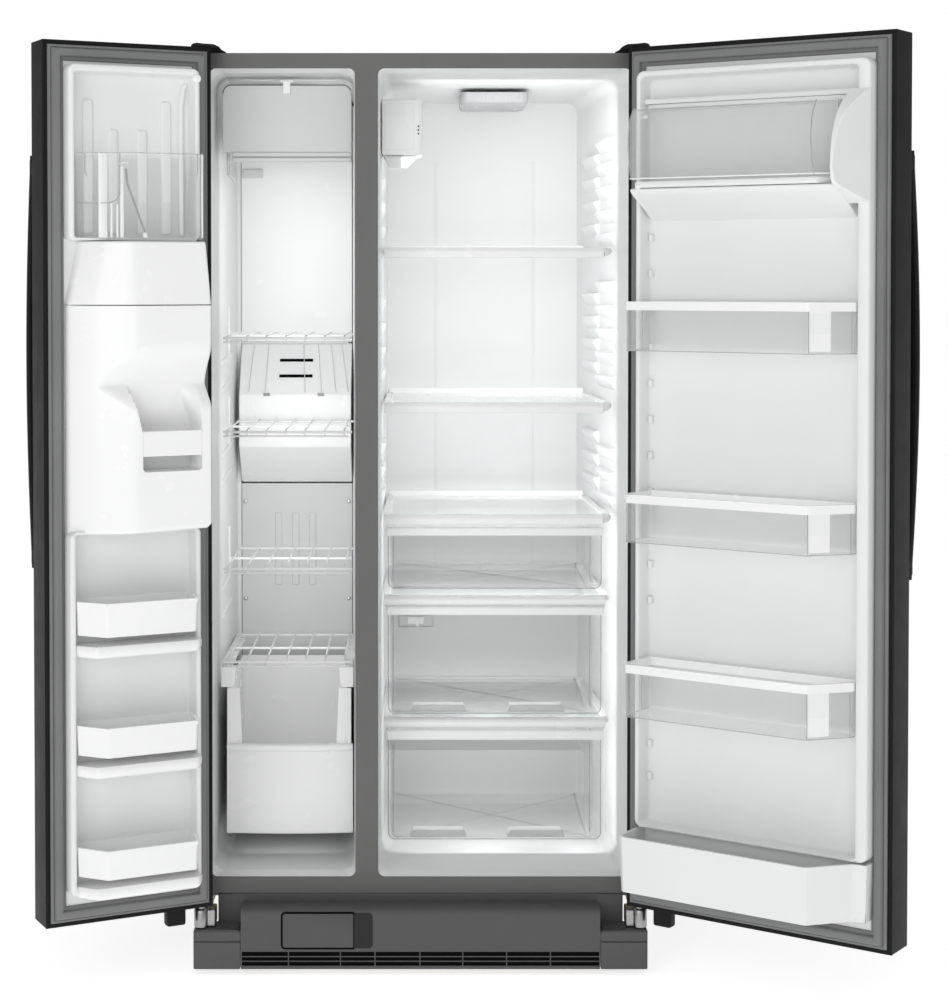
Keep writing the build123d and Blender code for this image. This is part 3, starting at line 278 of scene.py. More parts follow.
EDGE = clear("clear_plastic_edge", (0.5, 0.53, 0.52), 0.5, 0.8)
WIRE = moulded("lever_grey", (0.3, 0.3, 0.3), 0.45, grain=400, bump=0.1)

slot_of = {s["node"]: s["material_slot"] for s in frame["record"]["subparts"]}
for node_name, node in frame["nodes"].items():
    node.data.materials.clear()
    node.data.materials.append(LOOK[slot_of[node_name]])


# --- mesh tools -----------------------------------------------------------------------
def round_outline(points, radii, steps=5):
    """A closed plan outline with each corner rounded by its own radius."""
    if not hasattr(radii, "__len__"):
        radii = [radii] * len(points)
    result = []
    count = len(points)
    for i, radius in enumerate(radii):
        corner = Vector(points[i])
        before, after = Vector(points[i - 1]), Vector(points[(i + 1) % count])
        if radius <= 0:
            result.append(corner)
            continue
        d1, d2 = (before - corner).normalized(), (after - corner).normalized()
        half = math.acos(max(-1, min(1, d1.dot(d2)))) / 2
        if math.cos(half) < 1e-4:
            result.append(corner)
            continue
        room = min((before - corner).length, (after - corner).length) * 0.49
        reach = min(radius / math.tan(half), room)
        radius = reach * math.tan(half)
        centre = corner + (d1 + d2).normalized() * (radius / math.sin(half))
        start = corner + d1 * reach - centre
        end = corner + d2 * reach - centre
        a0, a1 = math.atan2(start.y, start.x), math.atan2(end.y, end.x)
        turn = (a1 - a0 + math.pi) % (2 * math.pi) - math.pi
        for k in range(steps + 1):
            a = a0 + turn * k / steps
            result.append(centre + Vector((math.cos(a), math.sin(a))) * radius)
    return result


def grow(outline, amount):
    """The outline moved outwards by amount, or inwards where it is negative."""
    area = sum(a.x * b.y - b.x * a.y for a, b in zip(outline, outline[1:] + outline[:1]))
    sign = 1 if area > 0 else -1
    result = []
    count = len(outline)
    for i in range(count):
        before, here, after = outline[i - 1], outline[i], outline[(i + 1) % count]
        e1, e2 = (here - before).normalized(), (after - here).normalized()
        n1, n2 = Vector((e1.y, -e1.x)) * sign, Vector((e2.y, -e2.x)) * sign
        bisector = (n1 + n2).normalized()
        result.append(here + bisector * (amount / max(0.35, bisector.dot(n1))))
    return result


def vec(outline):
    """The outline's points as vectors."""
    return [Vector(p) for p in outline]


def rect(x, y, radius=0.0, steps=5):
    """A rectangle's outline, with rounded corners where a radius is given."""
    points = [(x[0], y[0]), (x[1], y[0]), (x[1], y[1]), (x[0], y[1])]
    return round_outline(points, radius, steps) if radius else vec(points)


def within(pair, margin):
    """A (low, high) pair drawn in at both ends, or widened where the margin is negative."""
    return (pair[0] + margin, pair[1] - margin)


def about(centre, half):
    """The (low, high) pair that lies evenly about a centre."""
    return (centre - half, centre + half)


AXES = {
    "XY": lambda p, h: (p.x, p.y, h),
    "XZ": lambda p, h: (p.x, h, p.y),
    "YZ": lambda p, h: (h, p.x, p.y),
}


class Mesh:
    """Collects closed shapes drawn in a body's own place, then turns them into one piece."""

    def __init__(self):
        self.bm = bmesh.new()

    def skin(self, rings):
        """Joins rings of corners, each as long as the next, with quads."""
        for a, b in zip(rings[:-1], rings[1:]):
            for i in range(len(a)):
                j = (i + 1) % len(a)
                self.bm.faces.new((a[i], a[j], b[j], b[i]))

    def loops(self, loops):
        """A closed solid through rings of equal count, capped at both ends."""
        rings = [[self.bm.verts.new(p) for p in ring] for ring in loops]
        self.skin(rings)
        self.bm.faces.new(rings[0][::-1])
        self.bm.faces.new(rings[-1])
        return self

    def endless(self, loops):
        """A closed solid through rings of equal count, with the last ring joined to the first."""
        rings = [[self.bm.verts.new(p) for p in ring] for ring in loops]
        self.skin(rings + rings[:1])
        return self

    def prism(self, outline, low, high, plane="XY"):
        to3 = AXES[plane]
        outline = vec(outline)
        return self.loops([[to3(p, low) for p in outline], [to3(p, high) for p in outline]])

    def block(self, x, y, z):
        return self.prism(rect(x, y), z[0], z[1])

    def lofted(self, sections, plane="XY"):
        """A closed skin through outlines at rising heights: [(outline, height), ...]."""
        to3 = AXES[plane]
        return self.loops([[to3(p, h) for p in vec(o)] for o, h in sections])

    def cushion(self, outline, steps, plane="XY"):
        """A closed skin through one outline, drawn in by each (inset, height) in turn."""
        outline = vec(outline)
        return self.lofted([(grow(outline, -inset), height) for inset, height in steps], plane)

    def tray(self, outline, z, wall, floor, draft=0.0, heel=0.0):
        """Open-topped box: the outline at the top, drawn in by draft at a floor rounded by heel."""
        top = vec(outline)
        steps = 6

        def skin(inset, bottom, radius):
            """Rings from the floor up: a quarter round of the radius, then the wall."""
            rings = []
            for k in range(steps + 1 if radius > 0 else 1):
                a = math.pi / 2 * k / steps
                inward = radius * (1 - math.sin(a)) if radius > 0 else 0
                height = bottom + (radius * (1 - math.cos(a)) if radius > 0 else 0)
                rings.append([(p.x, p.y, height) for p in grow(top, -inset - draft - inward)])
            return rings + [[(p.x, p.y, z[1]) for p in grow(top, -inset)]]

        outside = skin(0, z[0], heel)
        inside = skin(wall, z[0] + floor, heel - wall)
        return self.loops(inside + outside[::-1])

    def tunnel(self, x, z, y):
        """Cuts a square way along Y through the flat faces at the two y planes."""
        for axis, values in ((0, x), (2, z)):
            for value in values:
                point, normal = Vector(), Vector()
                point[axis], normal[axis] = value, 1
                geometry = self.bm.verts[:] + self.bm.edges[:] + self.bm.faces[:]
                bmesh.ops.bisect_plane(self.bm, geom=geometry, plane_co=point, plane_no=normal)
        inside = [
            f for f in self.bm.faces
            if x[0] < f.calc_center_median().x < x[1] and z[0] < f.calc_center_median().z < z[1]
            and min(abs(f.calc_center_median().y - side) for side in y) < 0.01
        ]
        mouths = [sorted(f.verts, key=lambda v: (round(v.co.x, 1), round(v.co.z, 1))) for f in inside]
        bmesh.ops.delete(self.bm, geom=inside, context="FACES_ONLY")
        near, far = [(v[0], v[1], v[3], v[2]) for v in mouths]
        for i in range(4):
            j = (i + 1) % 4
            self.bm.faces.new((near[i], near[j], far[j], far[i]))
        return self

    def frame(self, outline, width, low, high, plane="XY"):
        """A flat ring: outline minus the outline moved in by width."""
        to3 = AXES[plane]
        outer = vec(outline)
        inner = grow(outer, -width)
        sides = ((outer, low), (outer, high), (inner, high), (inner, low))
        return self.endless([[to3(p, h) for p in side] for side, h in sides])

    def seal(self, x, z, profile):
        """A section of (inset, height) points swept round a rectangle that faces +Y."""
        rings = []
        for inset, height in profile:
            outline = rect(within(x, inset), within(z, inset))
            rings.append([(p.x, height, p.y) for p in outline])
        return self.endless(rings)

    def tube(self, points, radius, sides=10):
        """A round bar along a bent line."""
        points = [Vector(p) for p in points]
        rings = []
        normal = None
        for i, point in enumerate(points):
            ahead = (points[min(i + 1, len(points) - 1)] - points[max(i - 1, 0)]).normalized()
            if normal is None:
                seed = Vector((0, 0, 1)) if abs(ahead.z) < 0.9 else Vector((1, 0, 0))
                normal = ahead.cross(seed).normalized()
            normal = (normal - ahead * normal.dot(ahead)).normalized()
            side = ahead.cross(normal)
            ring = [
                point + (normal * math.cos(a) + side * math.sin(a)) * radius
                for a in (2 * math.pi * k / sides for k in range(sides))
            ]
            rings.append([tuple(p) for p in ring])
        return self.loops(rings)

    def cylinder(self, centre, axis, radius, length, sides=32, radii=None):
        """A turned shape: radii lists (share of length, radius) along the axis."""
        axis = Vector(axis).normalized()
        seed = Vector((0, 0, 1)) if abs(axis.z) < 0.9 else Vector((1, 0, 0))
        n = axis.cross(seed).normalized()
        b = axis.cross(n)
        rings = []
        for share, r in radii or ((0, radius), (1, radius)):
            c = Vector(centre) + axis * (share * length)
            rings.append([
                tuple(c + (n * math.cos(a) + b * math.sin(a)) * r)
                for a in (2 * math.pi * k / sides for k in range(sides))
            ])
        return self.loops(rings)

    def piece(self, name, body, look, bevel=0.0, segments=3, replaces=(), smooth=35, material=None):
        """Finishes the mesh: puts it on its body, rounds its edges and gives it a material."""
        place = PLACES.get(body, Matrix.Identity(4))
        self.bm.transform(place @ Matrix.Scale(MM, 4))
        bmesh.ops.remove_doubles(self.bm, verts=self.bm.verts, dist=1e-5)
        bmesh.ops.recalc_face_normals(self.bm, faces=self.bm.faces)
        mesh = bpy.data.meshes.new(name)
        self.bm.to_mesh(mesh)
        self.bm.free()
        obj = bpy.data.objects.new(name, mesh)
        bpy.context.scene.collection.objects.link(obj)
        mesh.materials.append(material or LOOK[look])
        mesh.shade_smooth()
        if bevel:
            rounding = obj.modifiers.new("rounded_edges", "BEVEL")
            rounding.width = bevel * MM
            rounding.segments = segments
            rounding.limit_method = "ANGLE"
            rounding.angle_limit = math.radians(smooth)
            rounding.harden_normals = True
            rounding.miter_outer = "MITER_ARC"
        else:
            mesh.set_sharp_from_angle(angle=math.radians(smooth))
        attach(obj, body)
        if replaces:
            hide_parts(*replaces)
        return obj


# --- doors ------------------------------------------------------------------------------
# u, v and z of a door, in millimetres
DISPENSER_U = (59.8, 230.2)      # the way through the freezer door's pan
DISPENSER_Z = (984.8, 1290.2)
SHEET = 1.35                     # from the foam to the outside of the door's steel sheet
HINGE_RADIUS, FREE_RADIUS = 24, 7
FREEZER_DIKE = (19, 265)         # u of the raised ring on each door's liner
FRIDGE_DIKE = (19, 468)
FREEZER_BINS_TOP = 185           # where the lower ring of the freezer door's liner starts
HOOD_PIN = (52, 1560)            # v, z of the dairy hood's pivots
HOOD_WALL = 2.4
STOP_PLAN = [(34, -16), (60, -16), (70, -6), (70, 14), (34, 14)]


def door_gasket(body):
    """Magnetic seal with its bellows: outer flap, groove, flat magnet pocket and inner lip."""
    g = span(f"{body}_gasket", body)
    base, depth = g.y[0], g.y[1] - g.y[0]
    shares = [
        (0, 0), (0, 0.2), (1, 0.34), (3.2, 0.4), (4.4, 0.4), (4.9, 0.3), (5.6, 0.3),
        (6.2, 0.62), (7.4, 0.84), (9.5, 0.97), (11.5, 1), (17.5, 1), (19.4, 0.95),
        (20.4, 0.8), (20.9, 0.5), (21.6, 0.4), (22.4, 0.44), (24.6, 0.44), (26.8, 0.36),
        (27.8, 0.2), (28, 0),
    ]
    m = Mesh().seal(g.x, g.z, [(inset, base + share * depth) for inset, share in shares])
    m.piece(f"{body}_seal", body, "gasket_grey", replaces=[f"{body}_gasket"], smooth=50)


def door_skin(body):
    """Painted door pan: rounded outer face, and the hem that turns in round the seal."""
    d = span(f"{body}_foam", body)
    x, z = within(d.x, -SHEET), within(d.z, -SHEET)
    outer = d.y[0] - SHEET
    inner = d.y[1] + 5
    hem = 8.5
    corners = [(x[0], inner - 0.8), (x[0], outer), (x[1], outer), (x[1], inner - 0.8)]
    plan = round_outline(corners, [1.5, HINGE_RADIUS, FREE_RADIUS, 1.5], 10)
    m = Mesh().prism(plan, z[0], z[1])
    if body == "freezer_door":
        m.tunnel(DISPENSER_U, DISPENSER_Z, (outer, inner - 0.8))
    m.piece(f"{body}_pan", body, "painted_shell", bevel=1.6, replaces=[f"{body}_shell"])
    hem_section = [
        (0, inner - 2), (0, inner - 0.4), (0.8, inner),
        (hem - 1.2, inner), (hem, inner - 0.6), (hem, inner - 2),
    ]
    m = Mesh().seal(x, z, hem_section)
    m.piece(f"{body}_hem", body, "painted_shell")


def dispenser():
    """Outside dispenser: bezel, deep tub, control panel, spout, drip tray and the paddle."""
    body = "freezer_door"
    r = span("dispenser_recess", body)
    face, back = r.y[0] + 2.5, r.y[1]
    u, z = within(r.x, 10), within(r.z, 10)
    panel_low = z[1] - 85
    m = Mesh().frame(rect(r.x, r.z, 9, 8), 13, r.y[0], face - 0.2, "XZ")
    m.piece("dispenser_bezel", body, "black_plastic", bevel=0.9, replaces=["dispenser_recess"])
    m = Mesh().tray(rect(u, z, 10, 8), (0, back - face - 0.3), 2.6, 3, 2, 8)
    for v in m.bm.verts:
        v.co = (v.co.x, back - v.co.z, v.co.y)
    m.piece("dispenser_tub", body, "black_plastic", smooth=45)
    m = Mesh().prism(rect(within(u, 3.5), (panel_low, z[1] - 3), 5), face + 4, back - 4, "XZ")
    m.piece("dispenser_panel", body, "black_plastic", bevel=2.2, segments=4)
    m = Mesh()
    middle = sum(u) / 2
    for i in range(5):
        centre = middle + (i - 2) * 30
        m.prism(rect(about(centre, 11), (panel_low + 18, panel_low + 31), 4), face + 2.8, face + 4.4, "XZ")
    m.piece("dispenser_buttons", body, "grille_grey", bevel=0.6)
    m = Mesh().prism(
        rect(about(middle, 44), (panel_low + 46, panel_low + 68), 5), face + 3.3, face + 4.4, "XZ"
    )
    m.piece("dispenser_window", body, "black_plastic", bevel=0.4, material=BLACK_AND_PAINTED_SHADE)
    m = Mesh().lofted([
        (rect(about(middle, 24), (-24, 2), 9), panel_low + 1),
        (rect(about(middle, 22), (-22, 0), 9), panel_low - 6),
        (rect(about(middle, 15), (-18, -3), 7), panel_low - 14),
    ])
    for side in (112, 173):
        m.block((side, side + 5), (-14, back - 3), (panel_low - 29, panel_low + 1))
    m.piece("dispenser_spout", body, "black_plastic", bevel=1, smooth=45)
    m = Mesh().block(within(u, 3), (face, face + 3), (z[0] + 3, z[0] + 14))
    m.block(within(u, 3), (face + 3, back - 3), (z[0] + 3, z[0] + 9))
    m.piece("dispenser_tray", body, "black_plastic", bevel=1)
    m = Mesh()
    v = face + 6
    while v < back - 8:
        m.block(within(u, 8), (v, v + 2.6), (z[0] + 9, z[0] + 13))
        v += 6
    m.piece("dispenser_grid", body, "grille_grey", bevel=0.7)
    # paddle on its shaft
    m = Mesh()
    pivot_v, pivot_z = -9, panel_low - 23
    m.cylinder((113, pivot_v, pivot_z), (1, 0, 0), 2.5, 64, 24)
    m.prism(rect((132, 158), (pivot_z - 82, pivot_z + 1), 4), pivot_v - 2, pivot_v + 1.5, "XZ")
    pad = rect((122, 168), (pivot_z - 126, pivot_z - 62), 9, 8)
    m.cushion(pad, [(1.5, pivot_v - 3), (0, pivot_v - 2), (0, pivot_v + 0.5), (1, pivot_v + 1.5)], "XZ")
    for i in range(5):
        height = pivot_z - 112 + i * 9
        m.block((130, 160), (pivot_v - 4, pivot_v - 2.5), (height, height + 3))
    m.piece(
        "dispenser_lever", "dispenser_paddle", "grille_grey", bevel=0.8, replaces=["dispenser_paddle"],
        smooth=40
    )


def door_handle(body):
    """Bowed grip on two posts, swollen at its ends."""
    h = span(f"{body}_handle", body)
    middle = sum(h.z) / 2
    half = (h.z[1] - h.z[0]) / 2
    root = h.y[1]
    reach = root - h.y[0]
    cx = sum(h.x) / 2
    wide = (h.x[1] - h.x[0]) / 2
    rings = []
    steps, sides, squareness = 48, 20, 0.55
    for i in range(steps + 1):
        t = -1 + 2 * i / steps
        height = middle + t * (half - 0.5)
        outer = root - 12 - (1 - t * t) * (reach - 12)
        inner = min(root, outer + 13 + 6 * abs(t) ** 6)
        w = wide * (0.8 + 0.2 * abs(t) ** 4)
        ring = []
        for k in range(sides):
            a = 2 * math.pi * k / sides
            across, along = math.cos(a), math.sin(a)
            px = cx + w * math.copysign(abs(across) ** squareness, across)
            py = (outer + inner) / 2 + (inner - outer) / 2 * math.copysign(abs(along) ** squareness, along)
            ring.append((px, py, height))
        rings.append(ring)
    m = Mesh().loops(rings)
    for sign in (-1, 1):
        end = middle + sign * (half - 20)
        m.prism(rect(about(cx, wide * 0.9), about(end, 16), 6), root - 14, root - 0.2, "XZ")
    m.piece(f"{body}_grip", body, "black_plastic", replaces=[f"{body}_handle"], smooth=60)


def moulded_ring(m, u, z, walls_u, walls_z, base, top, radius=16):
    """A thermoformed dike: sloped outside, rounded crown, sloped inside, flat field. One skin."""
    inner_u = (u[0] + walls_u[0], u[1] - walls_u[1])
    inner_z = (z[0] + walls_z[0], z[1] - walls_z[1])

    def rim(inset, height):
        return rect(within(u, inset), within(z, inset), max(radius - inset, 2), 8), height

    def field(inset, height):
        corner = max(radius * 0.6 + inset, 2)
        return rect(within(inner_u, inset), within(inner_z, inset), corner, 8), height

    sections = [rim(0, base), rim(1.2, top - 6), rim(1.8, top - 3), rim(3.2, top - 0.9), rim(5, top)]
    sections += [field(-3, top), field(-1.4, top - 0.8), field(-0.3, top - 2.6), field(0.4, top - 6)]
    sections += [field(1.8, base + 7), field(2.8, base + 3), field(4.6, base + 1.2), field(7, base + 0.6)]
    return m.lofted(sections, "XZ")


def lug(m, x, y, z):
    """A small square boss with drawn-in sides that stands out along Y."""
    taper = 0.8
    return m.lofted([(rect(x, z), y[0]), (rect(within(x, taper), within(z, taper)), y[1])], "XZ")


def relief(m, us, zs, height, back):
    """A moulded face v = height(u, z) over a grid, closed by skirts and a flat back."""
    bm = m.bm
    front = [[bm.verts.new((u, height(u, z), z)) for u in us] for z in zs]
    for j in range(len(zs) - 1):
        for i in range(len(us) - 1):
            bm.faces.new((front[j][i], front[j][i + 1], front[j + 1][i + 1], front[j + 1][i]))
    rim = [front[0][i] for i in range(len(us))] + [front[j][-1] for j in range(1, len(zs))]
    rim += [front[-1][i] for i in range(len(us) - 2, -1, -1)]
    rim += [front[j][0] for j in range(len(zs) - 2, 0, -1)]
    low = [bm.verts.new((v.co.x, back, v.co.z)) for v in rim]
    for i in range(len(rim)):
        j = (i + 1) % len(rim)
        bm.faces.new((rim[i], low[i], low[j], rim[j]))
    bm.faces.new(low)
    return m


def smooth_step(value, low, high):
    """Rises smoothly from 0 at low to 1 at high."""
    t = max(0.0, min(1.0, (value - low) / (high - low)))
    return t * t * (3 - 2 * t)


def soft_min(a, b, width=6.0):
    """The smaller of two values, with the corner between them rounded."""
    h = max(0.0, min(1.0, 0.5 + 0.5 * (b - a) / width))
    return b * (1 - h) + a * h - width * h * (1 - h)


def edge_drop(distance, radius):
    """How far a face falls near its rounded edge."""
    if distance >= radius:
        return 0.0
    d = radius - max(distance, 0)
    return radius - math.sqrt(max(radius * radius - d * d, 0))


def ladder(low, high, step):
    """Evenly spaced values from low to high, about a step apart."""
    count = max(1, round((high - low) / step))
    return [low + (high - low) * i / count for i in range(count + 1)]


def ladders(*stretches):
    """The values of several ladders, each given as (low, high, step), in order and once each."""
    return sorted({value for stretch in stretches for value in ladder(*stretch)})


# --- freezer door -----------------------------------------------------------------------
def freezer_door_panel():
    """Moulded liner of the freezer door with its ribs, ledges and bins."""
    body = "freezer_door"
    liner = span("freezer_door_liner", body)
    house = span("ice_housing", body)
    bins = solids("freezer_door_bins", body)
    face = span("freezer_door_gasket", body).y[0] - 0.1
    crown = liner.y[1]
    m = Mesh().prism(rect(liner.x, liner.z, 3), liner.y[0], face, "XZ")
    moulded_ring(m, FREEZER_DIKE, (house.z[1] + 0.5, liner.z[1] - 33), (11, 12), (4, 14), face, crown, 14)
    moulded_ring(m, FREEZER_DIKE, (FREEZER_BINS_TOP, house.z[0] - 0.5), (11, 12), (12, 4), face, crown, 14)
    m.piece("freezer_door_inner_panel", body, "liner_white", replaces=["freezer_door_liner"], smooth=40)

    # embossed ribs on the upper field, the curved cheek beside them and a small knob
    m = Mesh()
    low, tall, short = house.z[1] + 12, liner.z[1] - 92, liner.z[1] - 144
    for centre, high in ((219, tall), (173, short), (119, short), (74, tall)):
        outline = rect(about(centre, 10.5), (low, high), 6)
        m.cushion(outline, [(0, face), (1, face + 2.4), (3, face + 4.4), (5, face + 4.8)], "XZ")
    cheek = [(37, 1, high + 30), (41, 2, high + 22), (46, 2, high - 8), (45, 2, low)]
    m.tube([(u, face + v, z) for u, v, z in cheek], 5, 14)
    m.piece("freezer_door_upper_ribs", body, "liner_white", smooth=50)
    m = Mesh().cylinder(
        (27, crown - 4, liner.z[1] - 52), (0, 1, 0), 8, 8, 28, [(0, 8), (0.6, 8), (0.88, 6.6), (1, 4)]
    )
    m.piece("freezer_door_knob", body, "white_plastic")

    # ledges that the bins rest on
    for i, b in enumerate(bins):
        m = Mesh()
        plan = round_outline(
            [(24, face), (24, 70), (36, 90), (226, 90), (254, 54), (254, face)], [0, 8, 12, 14, 12, 0]
        )
        base = b.z[0] - 40
        m.cushion(plan, [(6, base), (1.4, base + 3), (0, base + 8), (0, base + 18), (2, base + 21)])
        m.piece(f"freezer_door_ledge_{i}", body, "white_plastic", smooth=50)
        m = Mesh()
        plan = [(b.x[0], b.y[0]), (b.x[0], 62), (46, b.y[1]), (214, b.y[1]), (b.x[1], 60), (b.x[1], b.y[0])]
        m.tray(round_outline(plan, [0, 5, 9, 9, 5, 0]), b.z, 2.6, 3, 2.5)
        m.piece(f"freezer_door_bin_{i}", body, "white_plastic", bevel=0.8, replaces=["freezer_door_bins"])
        m = Mesh()
        rail = [(b.x[0] + 0.2, 58), (46, b.y[1]), (214, b.y[1]), (b.x[1] - 0.2, 56)]
        inner = [(b.x[1] - 5, 56), (211, b.y[1] - 5.5), (49, b.y[1] - 5.5), (b.x[0] + 5, 58)]
        m.prism(vec(rail + inner), b.z[1] - 7, b.z[1] + 0.2)
        m.piece(f"freezer_door_bin_rim_{i}", body, "white_plastic", bevel=1.4)


def ice_housing():
    """Moulded housing: tapered hood, faceted side, and a soft scoop that runs down into the pocket."""
    body = "freezer_door"
    h = span("ice_housing", body)
    low, high = h.z
    back, front = h.y
    seam = high - 112
    scoop_top, scoop_low, scoop_end = low + 343, low + 254, low + 210
    pocket_u, pocket_low = (38, 148), low + 104
    corner = 9

    def plan(u):
        facets = soft_min(front - (u - 166) * 0.66, 75 - (u - 222) * 0.975, 3)
        return soft_min(soft_min(front, facets, 10), back + (h.x[1] + 1.2 - u) * 4, 8)

    def pocket_share(u, z):
        """How far a point is inside the open pocket: its left wall is steep, its right one a gusset."""
        if not pocket_low <= z <= scoop_low:
            return 0.0
        drop = max(0.0, pocket_low + corner - z)
        round_off = corner - math.sqrt(corner * corner - drop * drop)
        left = pocket_u[1] + max(0, z - low - 174) * 0.23 - round_off
        gusset = 1.5 + 26 * smooth_step(z, low + 180, low + 245)
        return max(0.0, min(1.0, (left - u) / 1.5, (u - pocket_u[0] - round_off) / gusset))

    def lower(u, z):
        inward = smooth_step(scoop_top - z, 0, scoop_top - scoop_low)
        outward = max(0.0, min(1.0, (scoop_low - z) / (scoop_low - scoop_end)))
        outside = front + 8 - 41 * inward * (1 - outward)
        inside = front + 8 - 41 - 21 * max(0.0, min(1.0, (scoop_low - z) / 75))
        share = pocket_share(u, z)
        value = soft_min(plan(u), outside * (1 - share) + inside * share, 8)
        value -= edge_drop(u - h.x[0], 5) + edge_drop(z - low, 9) + edge_drop(seam - 0.8 - z, 1.2)
        return max(back + 1, value)

    walls = (pocket_u[0], pocket_u[0] + 1.5, pocket_u[1] - 1.5, pocket_u[1])
    us = ladders((h.x[0], h.x[0] + 6, 1), (h.x[0] + 6, 160, 2), (160, h.x[1], 3))
    us = sorted(set(us) | set(walls))
    zs = ladders(
        (low, low + 10, 1), (low + 10, pocket_low - 0.3, 6), (pocket_low, pocket_low + corner, 1),
        (pocket_low + corner, scoop_top + 4, 2), (scoop_top + 4, seam - 3, 6), (seam - 3, seam - 0.8, 0.5),
    )
    m = Mesh()
    relief(m, us, zs, lower, back)
    for v in m.bm.verts:
        u_share = (v.co.x - h.x[0]) / (h.x[1] - h.x[0])
        near = v.co.z - low
        v.co.z -= 7 * u_share * max(0, 1 - near / 80)
        v.co.x += max(0, 9 - near) * 0.8 * (1 - u_share)
    m.piece("ice_housing_body", body, "white_plastic", replaces=["ice_housing"], smooth=42)

    def hood(u, z):
        share = (z - seam) / (high - seam)
        value = soft_min(plan(u), front - 12 * share + 2, 8)
        value -= edge_drop(u - h.x[0], 5) + edge_drop(high - z, 4) + edge_drop(z - seam - 0.8, 1.2)
        return max(back + 1, value)

    m = Mesh()
    zs = ladders((seam + 0.8, seam + 3, 0.5), (seam + 3, high - 5, 6), (high - 5, high, 1))
    us = ladders((h.x[0], h.x[0] + 6, 1), (h.x[0] + 6, h.x[1], 4))
    relief(m, us, zs, hood, back)
    for v in m.bm.verts:
        share = max(0, (v.co.z - seam) / (high - seam))
        u_share = (v.co.x - h.x[0]) / (h.x[1] - h.x[0])
        v.co.x -= share * u_share * 24 - share * (1 - u_share) * 7
    m.piece("ice_housing_hood", body, "white_plastic", smooth=48)

    m = Mesh().prism(rect((h.x[0] + 1, h.x[1] - 3), (back, back + 12)), seam - 1.5, seam + 1.5)
    m.piece("ice_housing_seam", body, "grey_panel")
    m = Mesh().prism(rect(pocket_u, (pocket_low + 27, pocket_low + 71), 1.5), front - 13, front - 1, "XZ")
    m.piece("ice_pocket_bar", body, "white_plastic", bevel=1.8)
    m = Mesh().prism(rect(within(pocket_u, 2), (pocket_low + 1, pocket_low + 27), 6), 58.5, 59.5, "XZ")
    m.piece("ice_pocket_back", body, "grey_panel", bevel=0.4)


def ice_bin():
    """Clear ice bin: cranked tray, stiffening bars, hooks and the shut-off lever."""
    body = "freezer_door"
    b = span("ice_bin", body)

    def front(u, gap=4.0):
        return b.y[1] - max(0, u - 160) * 0.585 - gap

    plan = [(b.x[0], b.y[0]), (b.x[0], b.y[1]), (160, b.y[1]), (b.x[1], 56), (b.x[1], b.y[0])]
    m = Mesh().tray(round_outline(plan, [0, 6, 14, 4, 0]), b.z, 2.6, 2.6, 3)
    m.piece("ice_bin_tub", body, "clear_plastic", bevel=0.8, replaces=["ice_bin"])
    m = Mesh()
    for centre, half, top in ((208, 8, 0), (179, 3, 24), (195, 1.8, 88), (186, 1.8, 90), (34.5, 1.6, 0)):
        v = front(centre)
        m.block(about(centre, half), (v - 2, v), (b.z[0] + 3, b.z[1] - top))
    m.piece("ice_bin_bars", body, "white_plastic", bevel=0.7)
    m = Mesh()
    shelf = b.z[1] - 88
    edge = [
        (b.x[1] - 3, shelf), (200, shelf), (190, shelf + 4), (184, shelf + 12), (183, shelf + 26),
        (183, b.z[1] - 1)
    ]
    m.tube([(u, front(u, 2), z) for u, z in edge], 0.9, 8)
    m.tube([(u, front(u, 1), b.z[1] - 0.6) for u in (b.x[1] - 2, 200, 160, 60, b.x[0] + 3)], 0.8, 8)
    m.piece("ice_bin_edges", body, "clear_plastic", material=EDGE, smooth=60)
    m = Mesh()
    for u, turn in ((236, 1), (44, -1)):
        v = front(u, 2)
        hook = [(u + 3, 1), (u, 3), (u, 34), (u - 3 * turn, 40)]
        m.tube([(x, v, b.z[1] - drop) for x, drop in hook], 0.9, 8)
    m.tube([(173, 98, b.z[1] - 28), (171, 99, b.z[1] - 54), (139, 100, b.z[0] + 12)], 2.0, 12)
    m.piece("ice_bin_lever", body, "grey_panel", material=WIRE, smooth=60)
    m = Mesh().cylinder(
        (139, 100, b.z[0] + 12), (0, 0, -1), 4.4, 9, 20, [(0, 3), (0.25, 4.4), (0.8, 4.4), (1, 3)]
    )
    m.tube([(u, front(u, 2), b.z[1] - drop) for u, drop in ((184, 20), (178, 18), (171, 18))], 0.9, 8)
    m.piece("ice_bin_lever_tip", body, "white_plastic", smooth=60)


